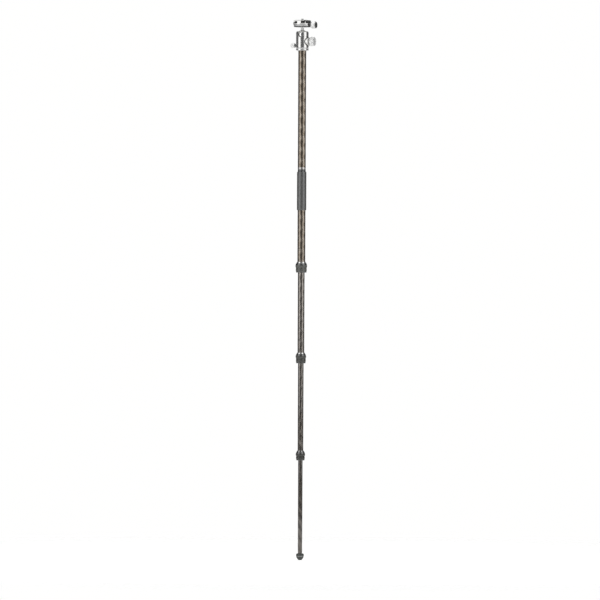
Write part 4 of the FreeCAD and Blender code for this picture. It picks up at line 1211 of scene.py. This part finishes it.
@dataclass
class BallHousing(SubAssembly):
    """The ball's housing: shouldered barrel with a boss, the drop notch and the open mouth."""

    radius: float = 17.5
    height: float = 45.8
    shoulder: float = 4.4
    boss: float = 11.5
    boss_end: float = 20.5
    notch: float = 5.6
    groove: float = 2.2
    groove_depth: float = 1.1
    clear: float = 0.15
    chamber: float = 15.2
    ball: float = 14.0
    seat: float = 14.24
    stem: float = 4.7
    axis_rise: float = 17.3
    ball_rise: float = 35.8
    pan_rise: float = 6.7

    def build(self) -> None:
        """Makes the housing, with painted shade in the groove round its boss, and the ball in it."""
        base = room("ball_housing").bottom
        axis, ball, top = base + self.axis_rise, base + self.ball_rise, base + self.height
        aside = {"axis": Axis.SIDE, "middle": (0.0, 0.0, axis * MM)}
        barrel = turned("housing_barrel", [
            (0.0, base), (self.radius - 0.2, base, 0.8), (self.radius, base + 1.6, 0.4),
            *self.rounded_top(top), (0.0, top),
        ], segments=160)
        boss = turned("boss", [
            (0.0, 6.0), (self.boss, 6.0), (self.boss, self.boss_end, 0.9), (0.0, self.boss_end),
        ], segments=96, **aside)
        mouth, inner = (math.sqrt(self.seat**2 - rise**2) for rise in (10.0, 7.3))
        chamber = turned("chamber", [
            (0.0, base - 1.0), (self.chamber, base - 1.0), (self.chamber, top - 2.7), (inner, top - 2.7),
            (mouth + self.clear, top), (mouth + 0.8, top + 1.0), (0.0, top + 1.0),
        ], segments=96)
        screw_bore = rod(4.05, 0.0, 24.0, segments=48, **aside)
        pan_bore = rod(2.85, -24.0, 0.0, Axis.SIDE, (0.0, 0.0, (base + self.pan_rise) * MM), 32)
        notch = prism("notch", self.notch_outline(ball), -24.0, 0.0, Axis.BACK)
        tool = turned("tool", rectangle(self.boss, self.boss + self.groove, 0.0, 30.0), segments=96, **aside)
        core = rod(self.radius - self.groove_depth, base - 5.0, base + 50.0, segments=160)
        carved(tool, [(Join.CUT, core)])
        carved(barrel, [
            (Join.CUT, tool), (Join.ADD, boss), (Join.CUT, chamber), (Join.CUT, screw_bore), (Join.CUT, pan_bore),
            (Join.CUT, notch),
        ], edge=0.35)
        self.dress(barrel, SILVER, "housing", "ball_housing")
        # The groove round the boss is painted near-black: painted shade.
        trimmed(barrel, PAINTED_SHADE_BLACK, lambda spot: self.in_groove(spot, axis))
        self.build_ball(ball)

    def in_groove(self, spot: Vector, axis: float) -> bool:
        """Whether a place on the housing is in the groove round the boss.

        Args:
            spot: the place, in millimetres.
            axis: the boss's height.

        Returns:
            True in the groove.
        """
        off = math.hypot(spot.y, spot.z - axis) - self.boss
        depth = self.radius - math.hypot(spot.x, spot.y)
        return spot.x > 8.0 and -2.0 < off < self.groove + 0.5 and 0.02 < depth < 1.9

    def rounded_top(self, top: float) -> list[Corner]:
        """The shoulder's quarter circle.

        Args:
            top: the housing's top.

        Returns:
            Its corners.
        """
        made = []
        for step in range(13):
            angle = math.pi / 2 * step / 12
            made.append((
                self.radius - self.shoulder * (1 - math.cos(angle)), top - self.shoulder * (1 - math.sin(angle)),
            ))
        return made

    def notch_outline(self, ball: float) -> list[Corner]:
        """The notch's outline: straight sides and a round bottom.

        Args:
            ball: the height of the ball's centre.

        Returns:
            Its corners.
        """
        made = [(self.notch, ball + self.ball), (-self.notch, ball + self.ball)]
        for step in range(25):
            angle = math.pi + math.pi * step / 24
            made.append((self.notch * math.cos(angle), ball - 6.0 + self.notch + self.notch * math.sin(angle)))
        return made

    def build_ball(self, ball: float) -> None:
        """Makes the polished ball with its stem.

        Args:
            ball: the height of its centre.
        """
        neck = math.sqrt(self.ball**2 - self.stem**2)
        outline = [(0.0, ball - self.ball)]
        for step in range(1, 49):
            angle = -math.pi / 2 + (math.asin(neck / self.ball) + math.pi / 2) * step / 48
            outline.append((self.ball * math.cos(angle), ball + self.ball * math.sin(angle)))
        rise = ball + neck
        outline += [(4.25, rise + 0.8), (4.1, rise + 2.0), (4.1, ball + 23.5), (2.55, ball + 23.5),
                    (2.55, ball + 15.0), (0.0, ball + 15.0)]
        finish = POLISHED.about(Axis.UP, Vector((0.0, 0.0, ball * MM)))
        piece = self.turn("ball_polished", outline, finish, "ball", "ball_and_stem", segments=128)
        trimmed(piece, KNOB_SILVER, lambda spot: spot.z > rise + 0.4)


@dataclass
class Knobs(SubAssembly):
    """The ball lock's fluted knob and the pan lock's small knob."""

    large: float = 12.8
    small: float = 6.6
    neck: float = 4.4
    neck_start: float = -17.8

    def build(self) -> None:
        """Makes both knobs and the pan lock's neck."""
        self.build_ball_lock()
        self.build_pan_lock()

    def build_ball_lock(self) -> None:
        """Makes the large fluted knob with its recessed face."""
        space = room("ball_lock_knob")
        start, end, outer = space.left, space.right, self.large
        level = (space.bottom + space.top) / 2 * MM
        flutes = Flutes(8, 3.4, 1.5, outer, start + 5.1, end + 1.0)
        self.turn_aside("ball_lock_grip", [
            (4.0, start), (8.6, start, 0.5), (12.0, start + 3.8, 0.5), (outer, start + 5.1, 0.5),
            (outer, end - 5.2, 0.2), (outer - 0.45, end - 4.8, 0.15), (outer - 0.45, end - 4.2, 0.15),
            (outer, end - 3.8, 0.2), (outer, end - 1.6, 0.6), (outer - 1.6, end, 0.6), (8.0, end, 0.3),
            (7.2, end - 0.8, 0.3), (0.0, end - 0.8), (0.0, start + 9.2), (4.0, start + 9.2),
        ], KNOB_SILVER, level, "ball_lock", "ball_lock_knob", segments=192, flutes=flutes)
        self.turn_aside("ball_lock_badge", [
            (0.0, end - 0.9), (6.4, end - 0.9), (6.4, end - 0.45, 0.2), (5.6, end - 0.3, 0.1), (0.0, end - 0.3),
        ], KNOB_SILVER, level, "ball_lock")

    def build_pan_lock(self) -> None:
        """Makes the small knob, milled with fine flutes, and its dark neck."""
        space = room("pan_lock_knob")
        near, far, outer = space.right, space.left, self.small
        level = (space.bottom + space.top) / 2 * MM
        flutes = Flutes(12, 1.0, 0.45, outer, far - 1.0, near - 1.2)
        self.turn_aside("pan_lock_grip", [
            (2.8, near), (5.6, near, 0.4), (outer, near - 1.0, 0.4), (outer, near - 4.4, 0.1),
            (outer - 0.4, near - 4.8, 0.1), (outer - 0.4, near - 5.2, 0.1), (outer, near - 5.6, 0.1),
            (outer, far + 1.0, 0.4), (5.6, far, 0.4), (3.4, far, 0.2), (3.0, far + 0.4, 0.2), (0.0, far + 0.4),
            (0.0, near - 6.8), (2.8, near - 6.8),
        ], KNOB_SILVER, level, "pan_lock", "pan_lock_knob", segments=144, flutes=flutes)
        tip, neck, groove = room("pan_lock_screw").right, self.neck, self.neck_start - 1.5
        self.turn_aside("pan_lock_neck", [
            (0.0, tip), (2.4, tip), (2.8, tip - 0.4), (2.8, self.neck_start), (neck, self.neck_start, 0.3),
            (neck, groove, 0.2), (neck - 0.4, groove - 0.3, 0.1), (neck, groove - 0.6, 0.2), (neck, near, 0.2),
            (2.8, near), (2.8, near - 6.8), (0.0, near - 6.8),
        ], DARK_METAL, level, "pan_lock", "pan_lock_screw", segments=64)


@dataclass
class Clamp(SubAssembly):
    """The screw clamp: round block, moving jaw, springs and the flared knob."""

    split: float = 11.6
    gap: float = 0.4
    hem: float = 2.0
    face: float = 21.3
    radius: float = 25.6
    beyond: float = 30.0
    axis_rise: float = 5.4
    knob: float = 9.7
    spring: float = 2.1
    spring_wire: float = 0.22

    def disc(self, name: str, base: float) -> Piece:
        """The clamp's round, double-bevelled form.

        Args:
            name: the piece's name.
            base: its lowest height.

        Returns:
            The solid.
        """
        corners = [(0.0, 0.0), (22.8, 0.0, 0.5), (23.5, self.hem), (self.radius, 8.0, 0.5), (self.radius, 9.4),
                   (self.radius, 10.0, 0.3), (23.6, 15.0, 0.5), (0.0, 15.0)]
        return turned(name, [(radius, base + up, *soft) for radius, up, *soft in corners], segments=160)

    def channel(self, base: float) -> Piece:
        """The dovetail channel that the plate slides in.

        Args:
            base: the clamp's lowest height.

        Returns:
            The solid to cut with.
        """
        right = [(19.15, base + 9.0), (19.15, base + 9.8), (16.325, base + 12.625), (16.325, base + 18.0)]
        left = [(-x, z) for x, z in reversed(right)]
        return prism("way", right + left, -self.beyond, self.beyond, Axis.BACK)

    def share(self, left: float, right: float, base: float) -> Piece:
        """The space that the block or the jaw has of the round form."""
        return prism("share", rectangle(left, right, -self.beyond, self.beyond), base - 2.0, base + 18.0)

    def build(self) -> None:
        """Makes the block and the jaw with their painted shade and painted dark reflection, the springs and the
        knob.
        """
        base = room("clamp_jaw").bottom
        axis = base + self.axis_rise
        block = self.disc("clamp_body", base)
        keep = self.share(-self.beyond, self.split, base)
        well = turned("well", [
            (0.0, base - 1.0), (4.15, base - 1.0), (4.15, base + 2.0), (2.55, base + 2.0), (2.55, base + 5.0),
            (4.3, base + 5.0), (4.3, base + 16.0), (0.0, base + 16.0),
        ], segments=64)
        reliefs = [
            prism("relief", rectangle(-15.2, -8.2, y - 1.6, y + 1.6, 0.6), base + 8.2, base + 9.5)
            for y in (-9.0, 9.0)
        ]
        cuts = [self.channel(base), well, *reliefs]
        carved(block, [(Join.KEEP, keep), *((Join.CUT, cut) for cut in cuts)], edge=0.35)
        self.dress(block, SILVER_BLOCK, "clamp", "clamp_block")
        jaw = self.disc("clamp_jaw_block", base)
        side = self.share(self.split + self.gap, self.face, base)
        bore = rod(3.3, 0.0, self.beyond, Axis.SIDE, (0.0, 0.0, axis * MM), 48)
        carved(jaw, [(Join.KEEP, side), (Join.CUT, self.channel(base)), (Join.CUT, bore)], edge=0.35)
        self.dress(jaw, SILVER_BLOCK, "jaw", "clamp_jaw")
        # The clamp's upper bevel, bottom hem and jaw end are painted near-black: painted shade and painted dark
        # reflection.
        for piece in (block, jaw):
            trimmed(piece, PAINTED_SHADE_BLACK, lambda spot: self.in_painted_shade(spot, base))
        self.build_springs(axis)
        self.build_knob(axis)

    def in_painted_shade(self, spot: Vector, base: float) -> bool:
        """Whether a place is on the upper bevel, the hem at the bottom or the jaw's flat end.

        Args:
            spot: the place, in millimetres.
            base: the clamp's lowest height.

        Returns:
            True where the near-black painted shade and painted dark reflection go.
        """
        level, reach = spot.z - base, math.hypot(spot.x, spot.y)
        bevel = 9.4 < level < 14.9 and reach > self.radius - 0.4 * (level - 9.0) - 0.25
        return bevel or (level < self.hem and reach > 22.6) or spot.x > self.face - 0.1

    def build_springs(self, axis: float) -> None:
        """Winds the two springs that push the jaw open.

        Args:
            axis: the height of the clamp's screw.
        """
        start, end, _, _ = room("jaw_springs")
        length = end - start - 0.9
        turned_aside = Matrix.Rotation(math.pi / 2, 4, "Y")
        for y, label, nodes in ((-14.0, "near", ["jaw_springs"]), (14.0, "far", [])):
            place = Matrix.Translation(Vector((start + 0.45, y, axis)) * MM) @ turned_aside
            spring = self.coil.wind(
                f"jaw_spring_{label}", 5.5, self.spring, length, self.spring_wire, STEEL, place
            )
            self.dress(spring, STEEL, "clamp", *nodes)

    def build_knob(self, axis: float) -> None:
        """Makes the flared knob with its neck, cap and washer.

        Args:
            axis: the height of the clamp's screw.
        """
        level, body, outer = axis * MM, "clamp_screw", self.knob
        start, end, _, _ = room("clamp_knob")
        self.turn_aside("clamp_grip_neck", [
            (3.0, start), (5.0, start, 0.3), (5.0, start + 1.2, 0.2), (5.6, start + 2.0), (3.0, start + 2.0),
        ], DARK_METAL, level, body)
        flutes = Flutes(16, 1.5, 0.6, outer, start + 7.4, end - 3.0)
        self.turn_aside("clamp_grip", [
            (3.0, start + 2.0), (5.75, start + 2.0, 0.2), (outer - 0.3, start + 7.0, 0.6),
            (outer, start + 7.6, 0.3), (outer, end - 2.6, 0.2), (outer - 0.5, end - 2.2, 0.1),
            (outer - 0.5, end - 1.8, 0.1), (outer, end - 1.4, 0.2), (outer, end, 0.5), (0.0, end),
            (0.0, start + 12.0), (3.0, start + 12.0),
        ], KNOB_SILVER, level, body, "clamp_knob", segments=256, flutes=flutes)
        self.turn_aside("clamp_grip_cap", [
            (0.0, end), (8.8, end), (8.8, end + 1.1, 0.3), (8.0, end + 2.0, 0.4), (3.2, end + 2.0, 0.3),
            (2.9, end + 1.7, 0.2), (0.0, end + 1.7),
        ], DARK_METAL, level, body, "clamp_knob_cap")
        left, right, _, _ = room("knob_washer")
        bodies = frame["record"]["behaviour"]["bodies"]
        holder = next(name for name, nodes in bodies.items() if "knob_washer" in nodes)
        self.turn("clamp_washer", [
            (3.3, left), (5.0, left, 0.15), (5.0, right, 0.15), (3.3, right),
        ], STEEL, holder, "knob_washer", axis=Axis.SIDE, middle=Vector((0.0, 0.0, level)), segments=64)


@dataclass
class Plate(SubAssembly):
    """The quick-release plate, its ribbed pad and its camera screw."""

    half: float = 19.0
    ribs: int = 9
    edge: float = 0.62
    inset: float = 0.3
    pocket_depth: float = 1.4
    margin: float = 1.2
    pad: float = 0.75
    rib_top: float = 1.2
    hole: float = 4.4

    def build(self) -> None:
        """Makes the plate with painted shade on its top edge and in its end pockets, the pad with its ribs, and the
        screw with its thread.
        """
        _, _, base, top = room("qr_plate")
        half = self.half
        right = [(half - 0.8, base, 0.2), (half, base + 0.8, 0.2), (half - 2.9, base + 3.7, 0.2),
                 (half - 2.9, base + 6.0, 0.2), (half, base + 6.8, 0.3), (half, top, 0.5)]
        left = [(-x, z, soft) for x, z, soft in reversed(right)]
        plate = prism("plate_body", right + left, -half, half, Axis.BACK)
        hole = turned("hole", [
            (0.0, base - 1.0), (6.8, base - 1.0), (6.8, base + 3.0), (3.375, base + 3.0), (3.375, top + 1.0),
            (0.0, top + 1.0),
        ], segments=64)
        corners = prism("corners", rectangle(-half, half, -half, half, 2.4), base - 1.0, top + 1.0)
        ends = [(side, end) for side in (-1, 1) for end in (-1, 1)]
        pockets = [self.pocket("pocket", side, end, base, half + 1.0) for side, end in ends]
        carved(plate, [(Join.CUT, hole), (Join.KEEP, corners), *((Join.CUT, cut) for cut in pockets)], edge=0.3)
        self.dress(plate, SILVER_BLOCK, "plate", "qr_plate")
        # The plate's top edge is painted near-black: painted shade.
        trimmed(plate, PAINTED_SHADE_BLACK, lambda spot: spot.z > top - self.edge)
        # Near-black inserts fill the end pockets flush as painted shade.
        for side, end in ends:
            name = f"bumper_{'left' if side < 0 else 'right'}_{'front' if end < 0 else 'back'}"
            self.dress(self.pocket(name, side, end, base, half - self.inset), BLACK_NYLON, "plate")
        self.build_pad(top)
        self.build_screw()

    def pocket(self, name: str, side: int, end: int, base: float, reach: float) -> Piece:
        """A pocket in the plate's end, or the near-black insert of painted shade that fills it.

        Args:
            name: the piece's name.
            side: -1 or 1 along x.
            end: -1 or 1 along y.
            base: the plate's underside.
            reach: how far out it goes along y.

        Returns:
            The solid.
        """
        if side > 0:
            outline = [(2.8, 1.2, 0.5), (15.3, 1.2, 0.5), (15.3, 6.3, 0.3), (18.2, 7.1, 0.2), (18.2, 7.9, 0.3),
                       (2.8, 7.9, 0.5)]
        else:
            outline = [(-18.4, 0.8, 0.3), (-7.9, 0.8, 0.5), (-7.9, 6.7, 0.5), (-15.5, 6.7, 0.3), (-15.5, 3.8, 0.3)]
        raised = [(x, base + up, soft) for x, up, soft in outline]
        low, high = sorted((end * (self.half - self.pocket_depth), end * reach))
        return prism(name, raised, low, high, Axis.BACK)

    def build_pad(self, top: float) -> None:
        """Makes the rubber pad and its ribs.

        Args:
            top: the plate's top.
        """
        half = self.half - self.margin
        pitch = 2 * half / (self.ribs + 1)
        sheet = prism("pad_sheet", rectangle(-half, half, -half, half, 1.6), top, top + self.pad)
        root, crest = top + 0.6, top + self.rib_top
        rib = prism("pad_ribs", [
            (-half + 0.5, root), (-half + pitch * 0.75, root), (-half + pitch * 0.68, crest, 0.15),
            (-half + 0.7, crest, 0.15),
        ], -half + 0.6, half - 0.6, Axis.BACK)
        self.repeat.row(rib, self.ribs + 1, PAD_RUBBER, pitch)
        for piece, nodes in ((sheet, ["plate_pad"]), (rib, [])):
            carved(piece, [(Join.CUT, rod(self.hole, top - 1.0, top + 3.0))])
            self.dress(piece, PAD_RUBBER, "plate", *nodes)

    def build_screw(self) -> None:
        """Makes the camera screw: slotted head, plain neck and threaded end."""
        _, _, base, top = room("camera_screw")
        stand = top - 4.5
        screw = turned("camera_bolt", [
            (0.0, base), (6.6, base, 0.4), (6.6, base + 2.6, 0.3), (2.5, base + 2.6), (2.5, stand),
            (2.85, stand, 0.1), (2.85, top - 0.5), (2.3, top, 0.1), (0.0, top),
        ], segments=72)
        slot = prism("slot", rectangle(-0.8, 0.8, base - 1.0, base + 1.3), -10.0, 10.0, Axis.BACK)
        carved(screw, [(Join.CUT, slot)], edge=0.12)
        self.dress(screw, STEEL, "camera_screw", "camera_screw")
        place = Matrix.Translation(Vector((0.0, 0.0, (stand + 0.35) * MM)))
        thread = self.coil.wind("camera_thread", 2.8, 2.86, 3.55, 0.30, STEEL, place)
        self.dress(thread, STEEL, "camera_screw")


@dataclass
class InnerWorks(SubAssembly):
    """What the CAD has and no other class makes: each node keeps its shape and gets its finish."""

    def build(self) -> None:
        """Gives each shown CAD node the finish of its material slot."""
        slots = {row["node"]: row["material_slot"] for row in frame["record"]["subparts"]}
        for name, node in frame["nodes"].items():
            if node.hide_render:
                continue
            finish = SLOT_FINISH.get(slots.get(name), STEEL)
            node.data.materials.clear()
            node.data.materials.append(coat_of(finish))
            LOG.info("%s keeps its CAD shape in %s", name, finish.name)


# ---------------------------------------------------------------- studio


@dataclass(frozen=True)
class Panel:
    """A pair of tall soft lights that face the pole, in metres, degrees from the camera, and watts."""

    name: str
    off: float
    away: float
    wide: float
    tall: float
    height: float
    energy: float


@dataclass
class Studio:
    """The pale floor, the soft lights and the camera."""

    azimuth: float = 22.0
    distance: float = 20.0
    width: float = 1.65
    middle: float = 0.715
    aside: float = -0.0031
    roll: float = 0.27
    film: float = 36.0
    floor: float = 2.3
    dim: float = 0.13
    glow: float = 0.60
    overhead: float = 3.4
    panels: tuple[Panel, ...] = (
        Panel("strip", 54.0, 2.4, 1.9, 3.3, 1.95, 29.0), Panel("back", 158.0, 2.6, 1.2, 3.0, 1.1, 8.0),
    )

    def direction(self, off: float = 0.0) -> Vector:
        """The level direction from the pole to the camera, turned by off degrees."""
        angle = math.radians(self.azimuth + off)
        return Vector((math.sin(angle), -math.cos(angle), 0.0))

    def build(self) -> None:
        """Makes the whole studio."""
        self.build_camera()
        self.build_floor()
        self.build_room()
        for panel in self.panels:
            for off in (panel.off, -panel.off):
                self.hang(panel, off)
        self.light("overhead", Vector((0.0, 0.0, self.overhead)), shape="DISK", size=3.2, energy=40.0)
        settings = bpy.context.scene.view_settings
        settings.view_transform, settings.look = "Standard", "None"

    def build_camera(self) -> None:
        """Makes the long level camera, at the photograph's angle."""
        data = bpy.data.cameras.new("camera")
        data.sensor_width, data.lens = self.film, self.film * self.distance / self.width
        data.clip_start, data.clip_end = 0.1, 60.0
        camera = linked("camera", data)
        back = self.direction()
        right = Vector((-back.y, back.x, 0.0))
        camera.location = back * self.distance + right * self.aside + Vector((0, 0, self.middle))
        camera.rotation_mode = "QUATERNION"
        level = (-back).to_track_quat("-Z", "Y")
        camera.rotation_quaternion = level @ Matrix.Rotation(math.radians(self.roll), 3, "Z").to_quaternion()
        bpy.context.scene.camera = camera

    def build_floor(self) -> None:
        """Makes the pale round floor, which fades out into the pale room."""
        mesh = bmesh.new()
        bmesh.ops.create_circle(mesh, cap_ends=True, segments=96, radius=self.floor)
        floor = mesh_object("floor", mesh)
        floor.location = (0, 0, -0.0006)
        graph = Graph(bpy.data.materials.new("pale_floor"))
        x, y, _ = graph.parts(graph.place)
        shader = graph.node("ShaderNodeBsdfPrincipled", {
            "Base Color": graph.blend(graph.noise(graph.place, 60.0, 4.0), (0.90, 0.90, 0.89), (0.93, 0.93, 0.92)),
            "Roughness": 0.9, "Specular IOR Level": 0.1,
            "Emission Color": (1.0, 1.0, 1.0, 1.0), "Emission Strength": 0.46,
        })
        clear = graph.node("ShaderNodeBsdfTransparent", {})
        edge = (x * x + y * y).step(0.7, 4.6)
        mixed = graph.node("ShaderNodeMixShader", {0: edge, 1: shader.outputs[0], 2: clear.outputs[0]})
        graph.node("ShaderNodeOutputMaterial", {"Surface": mixed.outputs[0]})
        floor.data.materials.append(graph.owner)

    def build_room(self) -> None:
        """Makes the pale room: white where the camera looks, dimmer where it only lights the metal."""
        world = bpy.data.worlds.new("pale_room")
        bpy.context.scene.world = world
        graph = Graph(world)
        _, _, height = graph.parts(graph.given["Generated"])
        power = self.glow - height.step(-0.45, -0.12) * (self.glow - self.dim)
        seen = graph.node("ShaderNodeBackground", {"Color": (1.0, 1.0, 0.996, 1.0), "Strength": 1.0})
        lit = graph.node("ShaderNodeBackground", {"Color": (0.97, 0.98, 1.0, 1.0), "Strength": power})
        path = graph.node("ShaderNodeLightPath", {})
        mixed = graph.node("ShaderNodeMixShader", {
            0: path.outputs["Is Camera Ray"], 1: lit.outputs[0], 2: seen.outputs[0],
        })
        graph.node("ShaderNodeOutputWorld", {"Surface": mixed.outputs[0]})

    def light(self, name: str, place: Vector, **settings: object) -> Piece:
        """Makes a soft light that the camera doesn't see.

        Args:
            name: its name.
            place: where it hangs.
            settings: its shape, size and power in watts.

        Returns:
            The light.
        """
        data = bpy.data.lights.new(name, "AREA")
        for key, value in settings.items():
            setattr(data, key, value)
        made = linked(name, data)
        made.location, made.visible_camera = place, False
        return made

    def hang(self, panel: Panel, off: float) -> None:
        """Hangs one light of a pair, facing the pole.

        Args:
            panel: the pair.
            off: how far round from the camera it is, in degrees.
        """
        out = self.direction(off)
        light = self.light(
            f"{panel.name}_{off:+.0f}", out * panel.away + Vector((0, 0, panel.height)),
            shape="RECTANGLE", size=panel.wide, size_y=panel.tall, energy=panel.energy,
        )
        light.rotation_mode = "QUATERNION"
        light.rotation_quaternion = (-out).to_track_quat("-Z", "Y")


def main() -> None:
    """Builds every sub-assembly and the studio, and reports each piece."""
    logging.basicConfig(level=logging.INFO, format="%(message)s")
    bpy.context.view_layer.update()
    kit = (Repeat(), Coil())
    parts: list[SubAssembly] = [
        Tubes(*kit), *(TwistLock(*kit, number=number) for number in (1, 2, 3)), Grip(*kit), Foot(*kit),
        PanBase(*kit), BallHousing(*kit), Knobs(*kit), Clamp(*kit), Plate(*kit), InnerWorks(*kit),
    ]
    for part in parts:
        part.build()
        LOG.info("%s: %d pieces", type(part).__name__, len(part.made))
    Studio().build()


if __name__ == "__main__":
    main()
